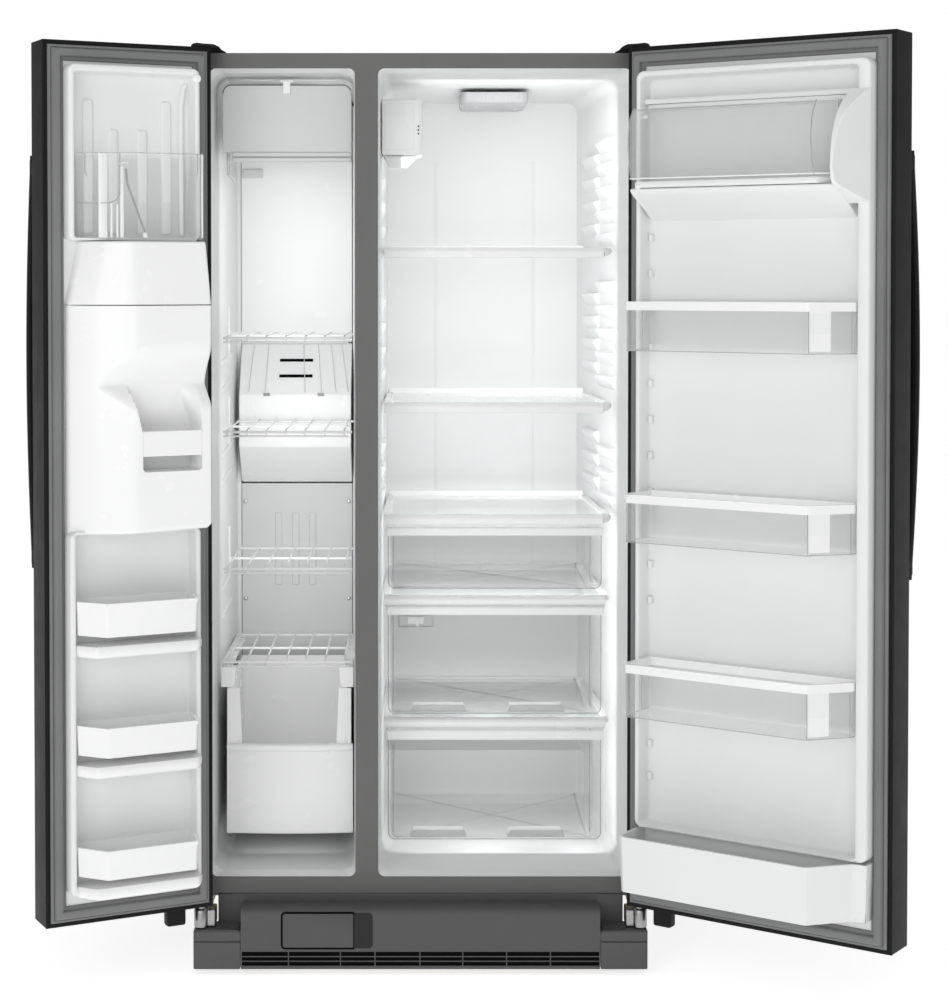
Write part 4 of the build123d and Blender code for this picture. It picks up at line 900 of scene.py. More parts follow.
# --- fridge door ------------------------------------------------------------------------
def fridge_door_panel():
    """Moulded liner of the fridge door, and its dairy compartment."""
    body = "fridge_door"
    liner = span("fridge_door_liner", body)
    bottom = span("bottom_bin", body)
    cover = span("dairy_cover", body)
    face = span("fridge_door_gasket", body).y[0] - 0.1
    crown = 60
    m = Mesh().prism(rect(liner.x, liner.z, 3), liner.y[0], face, "XZ")
    moulded_ring(m, FRIDGE_DIKE, (bottom.z[1] + 0.8, liner.z[1] - 37), (11, 23), (6, 12), face, crown, 16)
    m.piece("fridge_door_inner_panel", body, "liner_white", replaces=["fridge_door_liner"], smooth=40)

    tray_z = (cover.z[0] - 15, cover.z[0] - 4)
    canopy_z = (cover.z[1] + 11, cover.z[1] + 20)
    m = Mesh()
    plan = round_outline(
        [(30, face - 1), (30, 60), (46, 112), (392, 112), (431, 70), (431, face - 1)],
        [0, 8, 14, 14, 8, 0]
    )
    m.cushion(plan, [(3, tray_z[0]), (0.6, tray_z[0] + 3), (0, tray_z[0] + 7), (1, tray_z[1])])
    m.piece("dairy_shelf", body, "liner_white", bevel=1.0)
    m = Mesh()
    plan = round_outline([(30, face - 1), (30, 47), (440, 47), (445, 42), (445, face - 1)], [0, 4, 6, 6, 0])
    low, high = canopy_z
    m.cushion(plan, [(1, low), (0, low + 2.5), (0, high - 2.5), (2, high)])
    m.cushion(plan, [(8, low - 9), (6, low - 6), (6, low - 0.5)])
    m.piece("dairy_canopy", body, "liner_white", bevel=0.8)

    # bowed clear hood with a rolled top
    m = Mesh()
    plan = round_outline(
        [(34, face + 8), (34, 84), (44, 132), (392, 132), (426, 92), (426, face + 8)],
        [0, 6, 12, 12, 8, 0]
    )
    z0, z1 = cover.z[0], cover.z[1]

    def bow(height):
        share = (height - z0) / (z1 - z0)
        return 114 + 16 * math.sin(math.pi * min(1, share * 0.9 + 0.06)) - 22 * smooth_step(share, 0.75, 1.3)

    heights = ladder(z0, z1 - 6, 8) + [z1 - 3, z1 - 1, z1]
    rolls = [0] * (len(heights) - 3) + [2, 5, 10]
    outer = [[(p.x, min(p.y, bow(h) - roll), h) for p in plan] for h, roll in zip(heights, rolls)]
    inner_plan = grow(plan, -HOOD_WALL)
    inner = [
        [(p.x, min(p.y, bow(h) - roll - HOOD_WALL), max(z0, h - HOOD_WALL)) for p in inner_plan]
        for h, roll in zip(heights, rolls)
    ][::-1]
    m.endless(outer + inner)
    m.piece("dairy_hood", "dairy_cover", "clear_plastic", replaces=["dairy_cover"], smooth=40)
    m = Mesh()
    for side in ((cover.x[0], cover.x[0] + 14), (cover.x[1] - 14, cover.x[1])):
        m.cylinder((side[0], *HOOD_PIN), (1, 0, 0), 2.9, side[1] - side[0], 20)
    m.tube([(p.x, min(p.y, bow(z0)) + 0.2, z0 + 1.2) for p in plan if p.y > 40], 1.3, 8)
    m.piece("dairy_hood_edge", "dairy_cover", "white_plastic", smooth=60)
    m = Mesh()
    for u, v in ((35, 86), (45, 131), (392, 131), (425, 92)):
        m.tube([(u, min(v, bow(h)) + 0.2, h) for h in heights[:-1]], 1.0, 8)
    m.tube([(u, bow(z1 - 4) - 1, z1 - 4) for u in (46, 200, 390)], 0.9, 8)
    m.piece("dairy_hood_lines", "dairy_cover", "clear_plastic", material=EDGE, smooth=60)

    # moulded end wall that follows the hood's curve and slopes off to the door's free edge
    m = Mesh()
    profile = [
        (58, 1397), (66, 1399.5), (78, 1404), (95, 1411), (115, 1419.5), (131, 1427),
        (138, 1436), (141, 1455), (140, 1475),
        (137, 1495), (131, 1515), (122, 1535), (110, 1552), (94, 1567), (76, 1580), (58, 1592),
    ]
    m.loops([[(430, v, z) for v, z in profile], [(436 + (139 - v) * 0.405, v, z) for v, z in profile]])
    m.piece("dairy_end_wall", body, "liner_white", bevel=9, segments=6, smooth=40)
    m = Mesh()
    under = [
        (face - 1, 1374), (40, 1381), (62, 1396), (84, 1408), (100, 1417), (108, 1424), (110, 1430),
        (face - 1, 1430)
    ]
    m.prism(under, 36, 431, "YZ")
    m.piece("dairy_underside", body, "liner_white", bevel=5, segments=4, smooth=50)

    # lugs down the hinge side, and a small knob at the foot of the dairy shelf
    m = Mesh()
    for z in (1344, 1281, 1148, 1083, 1018, 953, 888, 757, 692, 432, 373):
        lug(m, (33, 42), (face, face + 9), about(z, 7))
    m.piece("fridge_door_lugs", body, "liner_white", bevel=0.8)
    m = Mesh().cylinder(
        (52, 92, tray_z[0] + 2), (0, 1, 0), 5, 20, 24, [(0, 5), (0.8, 5), (0.94, 4), (1, 2.4)]
    )
    m.piece("dairy_knob", body, "white_plastic")


def fridge_door_bins():
    """Clear bins with a white rail, and a white strip down the slanted end."""
    body = "fridge_door"
    plan = [(31.6, 26.5), (31.6, 118), (42, 130), (388, 130), (443.4, 62), (443.4, 26.5)]
    corner = [0, 7, 7, 12, 8, 0]
    slant = plan[3:5]
    rail = 15
    for i, b in enumerate(solids("fridge_door_bins", body)):
        outer = round_outline(plan, corner)
        m = Mesh().tray(grow(outer, -1.6), (b.z[0], b.z[1] - rail + 2), 2.2, 2.6, 3)
        m.piece(f"fridge_door_bin_{i}", body, "clear_plastic", bevel=0.8, replaces=["fridge_door_bins"])
        m = Mesh().frame(outer, 9, b.z[1] - rail, b.z[1])
        m.piece(f"fridge_door_bin_rail_{i}", body, "white_plastic", bevel=2.2, segments=4)
        m = Mesh()
        (u0, v0), (u1, v1) = slant
        chamfer = Vector((u1 - u0, v1 - v0)).normalized()
        normal = Vector((-chamfer.y, chamfer.x))
        start = Vector((u0, v0)) + chamfer * 4 - normal * 3.2
        end = start + chamfer * 40
        m.prism([start, end, end - normal * 1.6, start - normal * 1.6], b.z[0] + 5, b.z[1] - rail + 1)
        m.piece(f"fridge_door_bin_end_{i}", body, "white_plastic", bevel=0.4)
        m = Mesh()
        hem = grow(outer, -3.6)
        m.tube([(p.x, p.y, b.z[0] + 1) for p in hem if p.y > 30], 1.0, 8)
        for u, v in ((35.5, 60), (35.5, 116), (44, 128), (388, 127), (438, 64)):
            m.tube([(u, v - 1, b.z[0] + 1), (u, v, b.z[1] - rail)], 0.9, 8)
        m.piece(f"fridge_door_bin_lines_{i}", body, "clear_plastic", material=EDGE, smooth=60)


def bottom_bin():
    """White bin across the foot of the fridge door."""
    body = "fridge_door"
    b = span("bottom_bin", body)
    plan = [
        (b.x[0], b.y[0]), (b.x[0], 118), (34, b.y[1]), (388, b.y[1]), (444, 62),
        (b.x[1], 60), (b.x[1], b.y[0]),
    ]
    m = Mesh().tray(round_outline(plan, [0, 6, 8, 16, 12, 3, 0]), b.z, 5, 4, 4)
    m.piece("fridge_door_bottom_bin", body, "liner_white", bevel=2.2, segments=4, replaces=["bottom_bin"])


# --- fridge compartment -----------------------------------------------------------------
SHELF_TAPER = 25                 # how far a shelf's right side is drawn in at the back
SHELF_LIP = 9                    # height of the stop at the back of a shelf
LADDER_PITCH = 46                # from one shelf support to the next


def shelf_plan(b, rear_x):
    """Plan of a shelf: square at the front, its right side drawn in towards the back."""
    return [(b.x[0], b.y[0]), (b.x[1], b.y[0]), (rear_x, b.y[1]), (b.x[0], b.y[1])]


def shelf_side(b, inset, rear_x):
    """Plan of the white strip down a shelf's right side, which draws in the same way."""
    front, rear = b.y[0] + inset, b.y[1] - 2
    return [(b.x[1] - 14, front), (b.x[1] - 1, front), (rear_x + 11, rear), (rear_x - 2, rear)]


def fridge_shelves():
    """Glass shelves in white frames with a rolled front rail."""
    frames = solids("shelf_frames")
    panes = solids("shelf_glass")
    rear_x = panes[0].x[1] - 15
    for i, b in enumerate(frames):
        top = b.z[1] - SHELF_LIP
        m = Mesh()
        # front rail: a rolled nose that sweeps back along the right side
        nose = [
            (0, 2.5), (1.2, 0.8), (3, 0), (12, 0), (15, 0.8), (17, 3), (19.5, 5), (19.8, 8),
            (19.8, 15), (0.4, 15),
        ]
        section = [(b.y[0] + y, b.z[0] + z) for z, y in nose]
        m.prism(section, b.x[0], b.x[1] - 12, "YZ")
        m.piece(f"shelf_rail_{i}", "cabinet", "white_plastic", bevel=1.2, replaces=["shelf_frames"])
        m = Mesh()
        sweep = [
            (b.x[1] - 12.5, b.y[0] + 7.5, b.z[0] + 10), (b.x[1] - 6, b.y[0] + 9, b.z[0] + 11),
            (b.x[1] - 3, b.y[0] + 16, b.z[0] + 13), (b.x[1] - 5, b.y[0] + 60, top - 5),
        ]
        m.tube(sweep, 7, 16)
        m.piece(f"shelf_rail_end_{i}", "cabinet", "white_plastic", smooth=60)
        m = Mesh().prism(rect((b.x[0], b.x[0] + 13), (b.y[0] + 12, b.y[1] - 2)), top - 12, top - 0.4)
        m.prism(shelf_side(b, 12, rear_x), top - 12, top - 0.4)
        m.piece(f"shelf_sides_{i}", "cabinet", "white_plastic", bevel=1.2)
        m = Mesh().block((b.x[0] + 2, rear_x + 4), (b.y[1] - 9, b.y[1]), (top - 10, b.z[1]))
        m.piece(f"shelf_stop_{i}", "cabinet", "white_plastic", bevel=2.0)
    for i, b in enumerate(panes):
        m = Mesh().prism(shelf_plan(b, b.x[1] - SHELF_TAPER), b.z[0], b.z[1])
        m.piece(f"shelf_pane_{i}", "cabinet", "shelf_glass", bevel=0.8, replaces=["shelf_glass"])


def crisper_covers():
    """Framed covers over the crispers, with a deep rounded nose and hooks for the drawer."""
    for node in ("upper_crisper_cover", "lower_crisper_cover"):
        b = span(node)
        top = b.z[1] - SHELF_LIP
        rear_x = b.x[1] - SHELF_TAPER
        m = Mesh()
        nose = [
            (0, 9), (0.6, 5.5), (3, 2.2), (6.5, 0.4), (9, 0), (12, 0.4), (14.5, 2), (16.5, 5), (18.4, 10),
            (19, 15), (17.6, 22), (13, 22), (0, 14),
        ]
        section = [(b.y[0] + y, b.z[0] + z) for z, y in nose]
        m.prism(section, b.x[0], b.x[1] - 8, "YZ")
        m.piece(f"{node}_nose", "cabinet", "white_plastic", bevel=0.6, replaces=[node], smooth=50)
        m = Mesh().block((b.x[0], b.x[0] + 13), (b.y[0] + 14, b.y[1] - 2), (top - 10, top))
        m.prism(shelf_side(b, 14, rear_x), top - 10, top)
        m.block((b.x[0] + 2, rear_x + 4), (b.y[1] - 9, b.y[1]), (top - 10, b.z[1]))
        m.piece(f"{node}_frame", "cabinet", "white_plastic", bevel=1.2)
        m = Mesh()
        for side in (-1, 1):
            x = b.x[0] + 5 if side < 0 else b.x[1] - 12
            y, z = b.y[0], b.z[0]
            m.tube([(x, y + 12, z + 4), (x - side, y + 7, z - 2), (x - side * 4, y + 6, z - 9)], 3, 10)
        m.piece(f"{node}_hooks", "cabinet", "white_plastic")


def drawer(node, strip_height, steps=()):
    """Clear drawer: rounded tub, rolled lip, white grip strip and moulded base pads."""
    b = span(node)
    x = (b.x[0] + 5, b.x[1] - 16)
    y = (b.y[0] + 10, b.y[1])
    strip = (b.z[1] - strip_height, b.z[1])
    m = Mesh().tray(rect(x, y, 9, 6), (b.z[0], strip[0] + 2), 2.6, 2.6, 1.5, 13)
    m.piece(f"{node}_tub", node, "clear_plastic", smooth=40, replaces=[node])
    # front plate, wider than the tub, with rounded lower corners
    plate_x = (b.x[0] + 2, b.x[1] - 3)
    face = round_outline(rect(plate_x, (b.z[0] + 0.5, strip[0] + 2)), [13, 13, 0, 0], 8)
    m = Mesh().prism(face, y[0] - 2.4, y[0] - 0.2, "XZ")
    m.piece(f"{node}_plate", node, "clear_plastic", bevel=0.7)
    m = Mesh().tube([(p.x, y[0] - 1.4, p.y) for p in (face[-1:] + face[:-1])], 1.0, 8)
    for side in (x[0] + 6, x[1] - 8):
        m.tube([(side, y[0] + 1.2, b.z[0] + 14), (side, y[0] + 1.2, strip[0] - 3)], 0.8, 8)
    m.piece(f"{node}_edges", node, "clear_plastic", material=EDGE, smooth=60)
    if steps:
        m = Mesh()
        for low, high in steps:
            foot = [(low, b.z[0] + 3), (high, b.z[0] + 3), (high - 6, b.z[0] + 15), (low + 6, b.z[0] + 15)]
            m.prism(foot, y[0] + 3, y[0] + 40, "XZ")
        m.piece(f"{node}_pads", node, "clear_plastic", bevel=1.5, material=EDGE)
    m = Mesh()
    section = [
        (0, 3.4), (0.8, 1.2), (2.6, 0.1), (strip_height - 4, 0), (strip_height - 1.6, 0.8),
        (strip_height - 0.2, 3), (strip_height, 9), (strip_height - 1.5, 13), (0, 13),
    ]
    points = [(b.y[0] + py, strip[0] + pz) for pz, py in section]
    m.prism(points, *b.x, "YZ")
    m.piece(f"{node}_strip", node, "white_plastic", bevel=1.0)


def humidity_slider():
    """Sliding plate and tab that close the crisper's vent, in their channel."""
    b = span("humidity_slider")
    m = Mesh().block(b.x, (b.y[1] - 3.6, b.y[1]), (b.z[0] + 4, b.z[1]))
    m.piece("humidity_plate", "humidity_slider", "grey_panel", bevel=0.5, replaces=["humidity_slider"])
    m = Mesh()
    tab = (b.x[0] + 16, b.x[0] + 21)
    m.block(tab, b.y, (b.z[0], b.z[1] - 2))
    m.piece("humidity_tab", "humidity_slider", "grey_panel", bevel=0.9)
    m = Mesh()
    front = b.y[1] - 5
    m.frame(rect((b.x[0] - 18, b.x[1] + 18), (b.z[0] - 2, b.z[1] + 4.5)), 2, front, b.y[1] + 1, "XZ")
    m.piece("humidity_channel", "upper_crisper", "clear_plastic", bevel=0.5)


def control_box():
    """Temperature control housing with its three lamps and the bracket below."""
    b = span("control_box")
    m = Mesh()
    plan = round_outline(rect(b.x, b.y), [4, 10, 4, 2], 6)
    low, high = b.z
    m.cushion(plan, [(4, low), (1.4, low + 1.4), (0, low + 4), (0, high - 4), (1.4, high - 1.4), (4, high)])
    m.piece("control_housing", "cabinet", "white_plastic", replaces=["control_box"], smooth=50)
    m = Mesh()
    for i in range(3):
        m.cylinder((b.x[1] - 8, b.y[0] + 0.6, b.z[0] + 53 - 7 * i), (0, -1, 0), 1.6, 0.9, 16)
    m.piece("control_lamps", "cabinet", "black_plastic", material=BLACK_AND_PAINTED_SHADE)
    m = Mesh().frame(
        rect((b.x[0] + 6, b.x[1] - 16), within(b.z, 8), 5), 0.7, b.y[0] - 0.1, b.y[0] + 0.6, "XZ"
    )
    m.piece("control_panel_line", "cabinet", "grey_panel")
    m = Mesh()
    foot = [
        (b.x[0] + 4, b.z[0] - 3), (b.x[1] - 8, b.z[0] - 3), (b.x[1] - 30, b.z[0] - 24),
        (b.x[0] + 14, b.z[0] - 24)
    ]
    m.prism(foot, b.y[0] + 20, b.y[0] + 60, "XZ")
    m.piece("control_bracket", "cabinet", "liner_white", bevel=3)


def light_lens():
    """Ribbed lens of the ceiling light."""
    b = span("light_lens")
    m = Mesh()
    plan = rect(b.x, b.y, 14, 8)
    low, high = b.z
    m.cushion(plan, [(7, low), (3.5, low + 0.8), (1, low + 3), (0, low + 7), (0, high)])
    m.piece("lens_dome", "cabinet", "lens", replaces=["light_lens"], smooth=50)
    m = Mesh()
    for i in range(16):
        x = b.x[0] + 12 + i * (b.x[1] - b.x[0] - 24) / 15
        m.block(about(x, 1), (b.y[0] - 0.5, b.y[0] + 4), (b.z[0] + 5, b.z[1] - 3))
    m.piece("lens_ribs", "cabinet", "lens", bevel=0.4)


def fridge_liner_details():
    """Grooves on the back wall and the ladders of shelf supports on both side walls."""
    liner = span("fridge_liner")
    back = liner.y[1] - 2
    top = span("control_box").z[1] - 91
    low = span("upper_crisper").z[1]
    m = Mesh()
    for x in (32, 239):
        for side in (-1, 1):
            m.tube([(x + side * 2.2, back, low), (x + side * 2.2, back, top)], 1.0, 8)
        m.tube([(x - 2.2, back, top), (x + 2.2, back, top)], 1.0, 8)
    m.piece("back_wall_grooves", "cabinet", "liner_white")

    # ladders: two staggered columns of soft ledges that the shelves hook on
    shelves = [f.z[0] for f in solids("shelf_frames")]
    right_end, left_end = 1560, 1470
    flange_x, rear_x = liner.x[1] - 3, 331

    def wall(y):
        return flange_x + (y - 28) / (liner.y[1] - 30) * (rear_x - flange_x)

    def ledge(m, y, z, reach, side=1, wall_at=wall):
        near, far = wall_at(y[0]), wall_at(y[1])
        m.loops([
            [
                (near - side * out, y[0] + inset, low), (far - side * out, y[1] - inset, low),
                (far - side * out, y[1] - inset, high), (near - side * out, y[0] + inset, high),
            ]
            for out, inset, low, high in ((-2, 0, z - 26, z + 3), (3, 3, z - 22, z + 2), (reach, 9, z - 7, z))
        ])

    m = Mesh()
    for y, start, reach in (((160, 315), 8, 13), ((330, 480), 30, 11)):
        z = shelves[-1] + 40 + start
        while z < right_end:
            if not any(s - 34 < z < s + 44 for s in shelves):
                ledge(m, y, z, reach)
            z += LADDER_PITCH
    m.piece("right_ladder", "cabinet", "liner_white", bevel=2.6)
    m = Mesh()
    z = shelves[-1] + 60
    while z < left_end:
        if not any(s - 34 < z < s + 44 for s in shelves):
            ledge(m, (160, 300), z, 8, -1, lambda y: -75.5)
        z += LADDER_PITCH
    m.piece("left_ladder", "cabinet", "liner_white", bevel=2)


# --- freezer compartment ----------------------------------------------------------------
def freezer_back():
    """Upper and lower back panels of the freezer, and the slotted air duct cover between them."""
    up = span("freezer_upper_panel")
    m = Mesh().block(up.x, (up.y[1] - 3, up.y[1]), up.z)
    m.piece("upper_back_panel", "cabinet", "white_plastic", bevel=0.6, replaces=["freezer_upper_panel"])
    m = Mesh().block(
        (up.x[0] + 3, up.x[0] + 44), (up.y[1] - 8, up.y[1] - 3.2), (up.z[1] - 152, up.z[1] - 134)
    )
    m.piece("upper_panel_strip", "cabinet", "grey_panel", bevel=1.5)

    cover = span("evaporator_cover")
    face, wall = cover.y[0], cover.y[1]
    high, brow, sill, low = cover.z[1], cover.z[1] - 104, cover.z[1] - 209, cover.z[0]
    m = Mesh()
    section = [
        (wall, high), (face + 6, brow + 6), (face + 1.5, brow + 1), (face, brow - 6), (face, sill + 6),
        (face + 2, sill - 1), (wall, low)
    ]
    m.prism(section, *cover.x, "YZ")
    m.piece("air_duct_cover", "cabinet", "white_plastic", bevel=1.5, replaces=["evaporator_cover"], smooth=25)
    middle = -254
    slope = math.atan2(high - brow, wall - face)
    along = Vector((0, math.cos(slope), math.sin(slope)))
    normal = Vector((0, -math.sin(slope), math.cos(slope)))

    def on_slope(m, x, share, half_x, half_s, low_h, high_h):
        centre = Vector((x, face + share * (wall - face), brow + share * (high - brow)))
        rings = []
        for h in (low_h, high_h):
            rings.append([
                tuple(centre + Vector((sx * half_x, 0, 0)) + along * (ss * half_s) + normal * h)
                for sx, ss in ((-1, -1), (1, -1), (1, 1), (-1, 1))
            ])
        m.loops(rings)

    def slope_point(x, share):
        return tuple(Vector((x, face + share * (wall - face), brow + share * (high - brow))) + normal * 0.4)

    m = Mesh()
    for x in (-88, -58, 14, 44, 70, 92):
        m.tube([slope_point(middle + x, 0.95), slope_point(middle + 4 + x * 1.12, 0.06)], 0.9, 8)
    m.tube([slope_point(-366, 0.97), slope_point(-143, 0.97)], 1.1, 8)
    m.piece("duct_cover_ribs", "cabinet", "grey_panel", smooth=60)
    # near-black plates in the two slots: painted shade in the openings
    m = Mesh()
    for share in (0.36, 0.66):
        on_slope(m, middle, share, 34, 3.4, -0.5, 0.7)
    m.piece("duct_slot_shade", "cabinet", "black_plastic", bevel=0.5, material=BLACK_AND_PAINTED_SHADE)
    m = Mesh()
    for x in (-312, -202):
        m.block(about(x, 6.5), (face - 2.5, face + 2), (brow - 2, brow + 4))
    m.piece("duct_clips", "cabinet", "grille_grey", bevel=1.0, material=WIRE)

    lower = span("freezer_lower_panel")
    m = Mesh().block(lower.x, (lower.y[1] - 3, lower.y[1]), lower.z)
    m.piece("lower_back_panel", "cabinet", "grey_panel", bevel=0.6, replaces=["freezer_lower_panel"])
    m = Mesh()
    for i in range(3):
        strip = rect((-300 + i * 35, -285 + i * 35), (lower.z[1] - 210, lower.z[1] - 60), 3)
        m.cushion(strip, [(1.5, lower.y[0]), (0, lower.y[1] - 3)], "XZ")
    m.piece("lower_panel_ribs", "cabinet", "grey_panel", bevel=0.8)
    m = Mesh()
    for s in solids("panel_screws"):
        c = (sum(s.x) / 2, s.y[1], sum(s.z) / 2)
        m.cylinder(c, (0, -1, 0), 4.5, 2.6, 24, [(0, 4.5), (0.35, 4.5), (0.75, 3.6), (1, 1.6)])
    m.piece("panel_screw_heads", "cabinet", "steel_screw", replaces=["panel_screws"])


def ice_maker_shield():
    """Plate in front of the ice maker, with its lower lip and top clip."""
    b = span("ice_maker_shield")
    m = Mesh()
    plate = round_outline(rect(b.x, (b.z[0] + 18, b.z[1] - 9)), [2, 2, 16, 16], 8)
    m.cushion(plate, [(2, b.y[0] + 4), (0.8, b.y[0] + 4.4), (0, b.y[0] + 5.6), (0, b.y[0] + 7)], "XZ")
    m.piece("shield_plate", "cabinet", "grey_panel", replaces=["ice_maker_shield"], smooth=50)
    m = Mesh()
    line = [(p.x, b.y[0] + 3.9, p.y) for p in grow(plate, -0.6)]
    m.tube([p for p in line if p[0] < b.x[1] - 1 and p[2] > b.z[0] + 40], 0.9, 8)
    m.piece("shield_edge", "cabinet", "black_plastic", material=LOOK["grille_grey"])
    m = Mesh().block((b.x[0] + 18, b.x[1]), (b.y[0] + 2, b.y[0] + 18), (b.z[0], b.z[0] + 18))
    m.piece("shield_lower_lip", "cabinet", "grey_panel", bevel=3)
    m = Mesh().block((b.x[0] + 20, b.x[1] - 2), (b.y[0] + 1.6, b.y[0] + 4), (b.z[0] + 8, b.z[0] + 9.6))
    m.piece("shield_lip_line", "cabinet", "grille_grey", bevel=0.3)
    m = Mesh().block((-257, -243), (b.y[0] - 2, b.y[0] + 5), (b.z[1] - 26, b.z[1] - 3))
    m.block((-262, -238), (b.y[0] + 1, b.y[0] + 12), (b.z[1] - 5, b.z[1]))
    m.piece("shield_clip", "cabinet", "white_plastic", bevel=1.6)


def freezer_bin():
    """Sliding freezer bin: low bowed front, tall sides and two upright posts."""
    b = span("freezer_bin")
    rim = b.z[1] - 108
    x = (b.x[0], b.x[1] - 11)
    m = Mesh()
    wall = 3
    back = (b.y[0] + 13, b.y[1])
    side_profile = [
        (back[0], b.z[0] + 3), (back[1], b.z[0] + 3), (back[1], b.z[1]), (back[0] + 24, b.z[1]),
        (back[0] + 10, b.z[1] - 10), (back[0], rim)
    ]
    for sx in ((x[0], x[0] + wall), (x[1] - wall, x[1])):
        m.prism(side_profile, *sx, "YZ")
    m.block(x, (back[1] - wall, back[1]), (b.z[0] + 3, b.z[1]))
    m.block(x, back, (b.z[0], b.z[0] + wall))
    m.piece("freezer_bin_tub", "freezer_bin", "white_plastic", bevel=1.2, replaces=["freezer_bin"])
    # the upright strips beside the low front
    m = Mesh()
    for edge, side in ((x[0], 1), (x[1] + 8, -1)):
        strip = [
            (edge, rim - 4), (edge, b.z[1] - 2), (edge + side * 24, b.z[1] - 2),
            (edge + side * 29, rim - 4)
        ]
        m.prism(strip, back[0] + 2, back[0] + 5, "XZ")
    m.piece("freezer_bin_posts", "freezer_bin", "white_plastic", bevel=1.5)

    def bow(y_end, y_mid, height, inset):
        ring, count = [], 28
        for i in range(count + 1):
            t = -1 + 2 * i / count
            px = (b.x[0] + b.x[1]) / 2 + t * ((b.x[1] - b.x[0]) / 2 - inset)
            ring.append((px, y_mid + (y_end - y_mid) * t * t, height))
        return ring

    def panel(y_end, y_mid, low, high, inset, depth):
        rings = []
        for height, drop in (
            (low, 3.5), (low + 1.2, 1.2), (low + 4, 0), (high - 4, 0), (high - 1.2, 1.0), (high, 3)
        ):
            front = bow(y_end + drop, y_mid + drop, height, inset)
            rear = [(px, b.y[0] + depth, h) for px, _, h in front[::-1]]
            rings.append(front + rear)
        return rings

    m = Mesh().loops(panel(b.y[0] + 13, b.y[0] + 5, b.z[0], rim - 10, 0, 18))
    m.piece("freezer_bin_front", "freezer_bin", "white_plastic", smooth=50)
    m = Mesh().loops(panel(b.y[0] + 9, b.y[0], rim - 13, rim, 0, 18))
    m.piece("freezer_bin_rim", "freezer_bin", "white_plastic", smooth=50)


def wire_shelves():
    """White coated wire shelves, and the brackets of the lowest one."""
    for i, b in enumerate(solids("wire_shelves")):
        m = Mesh()
        z = b.z[0] + 4
        front, middle, rear = b.y[0] + 4, (b.y[0] + b.y[1]) / 2, b.y[1] - 3
        x = (b.x[0], b.x[1] - 7)
        m.tube([(x[0], front, z), (b.x[1], front, z)], 2.5, 14)
        m.tube([(x[0], front + 3, z - 8), (x[1], front + 3, z - 8)], 1.9, 12)
        for y in (middle, rear):
            m.tube([(x[0], y, z), (x[1], y, z)], 2.4, 12)
        count = 7
        for k in range(count):
            px = x[0] + 8 + k * (x[1] - x[0] - 16) / (count - 1)
            bend = [(front + 1.5, -8), (front - 1, 1), (front + 4, 3.8), (rear, 3.8)]
            m.tube([(px, y, z + rise) for y, rise in bend], 1.6, 10)
        m.piece(f"wire_shelf_{i}", "cabinet", "coated_wire", replaces=["wire_shelves"], smooth=60)
    lowest = solids("wire_shelves")[-1]
    m = Mesh()
    for edge, side in ((lowest.x[0] - 5, 1), (lowest.x[1] + 2, -1)):
        y = lowest.y[0] + 4
        ledge = sorted((edge, edge + side * 20))
        m.block(ledge, (y + 14, lowest.y[1] + 40), (lowest.z[0] - 8, lowest.z[0] - 1))
        tab = round_outline([
            (edge, lowest.z[0] - 44), (edge + side * 24, lowest.z[0] - 44),
            (edge + side * 28, lowest.z[0] - 6),
            (edge, lowest.z[0] - 6),
        ], [1, 9, 2, 1])
        m.prism(tab, y + 1, y + 13, "XZ")
    m.piece("lowest_shelf_brackets", "cabinet", "white_plastic", bevel=2)


def freezer_liner_details():
    """Slanted support ribs on the side walls, and painted shadow lines in the joints beside the back panels."""
    m = Mesh()
    liner = span("freezer_liner")

    def wall_x(y):
        return liner.x[0] + 4 + (y - 28) / (liner.y[1] - 30) * 12

    for shelf in solids("wire_shelves")[:3]:
        for drop in (48, 100):
            z = shelf.z[0] - drop
            m.tube([(wall_x(y) - 1, y, z + (y - 180) * 0.08) for y in (180, 250, 330)], 4.2, 12)
        m.tube([(wall_x(300), 300, shelf.z[0] - 44), (wall_x(300), 300, shelf.z[0] + 60)], 2.6, 10)
    m.piece("freezer_wall_ribs", "cabinet", "liner_white", smooth=60)
    up, low = span("freezer_upper_panel"), span("freezer_lower_panel")
    m = Mesh()
    for x in ((up.x[0] - 9, up.x[0] - 1.2), (up.x[1] + 1.6, up.x[1] + 9)):
        m.block(x, (up.y[1] - 2.6, up.y[1] - 0.6), (low.z[0] + 4, up.z[1] - 4))
    m.piece("freezer_back_trim", "cabinet", "liner_white", bevel=0.5)
    # thin grey strips at the panels' edges: painted shadow in the joints
    m = Mesh().block(
        (up.x[0] - 1.9, up.x[0] - 0.4), (up.y[1] - 2, up.y[1] - 0.5), (low.z[0] + 60, up.z[1] - 90)
    )
    m.block((up.x[1] + 0.4, up.x[1] + 1.6), (up.y[1] - 2, up.y[1] - 0.5), (low.z[0] + 60, low.z[1]))
    m.piece("back_panel_joint_shadows", "cabinet", "grille_grey", material=JOINT_SHADE)


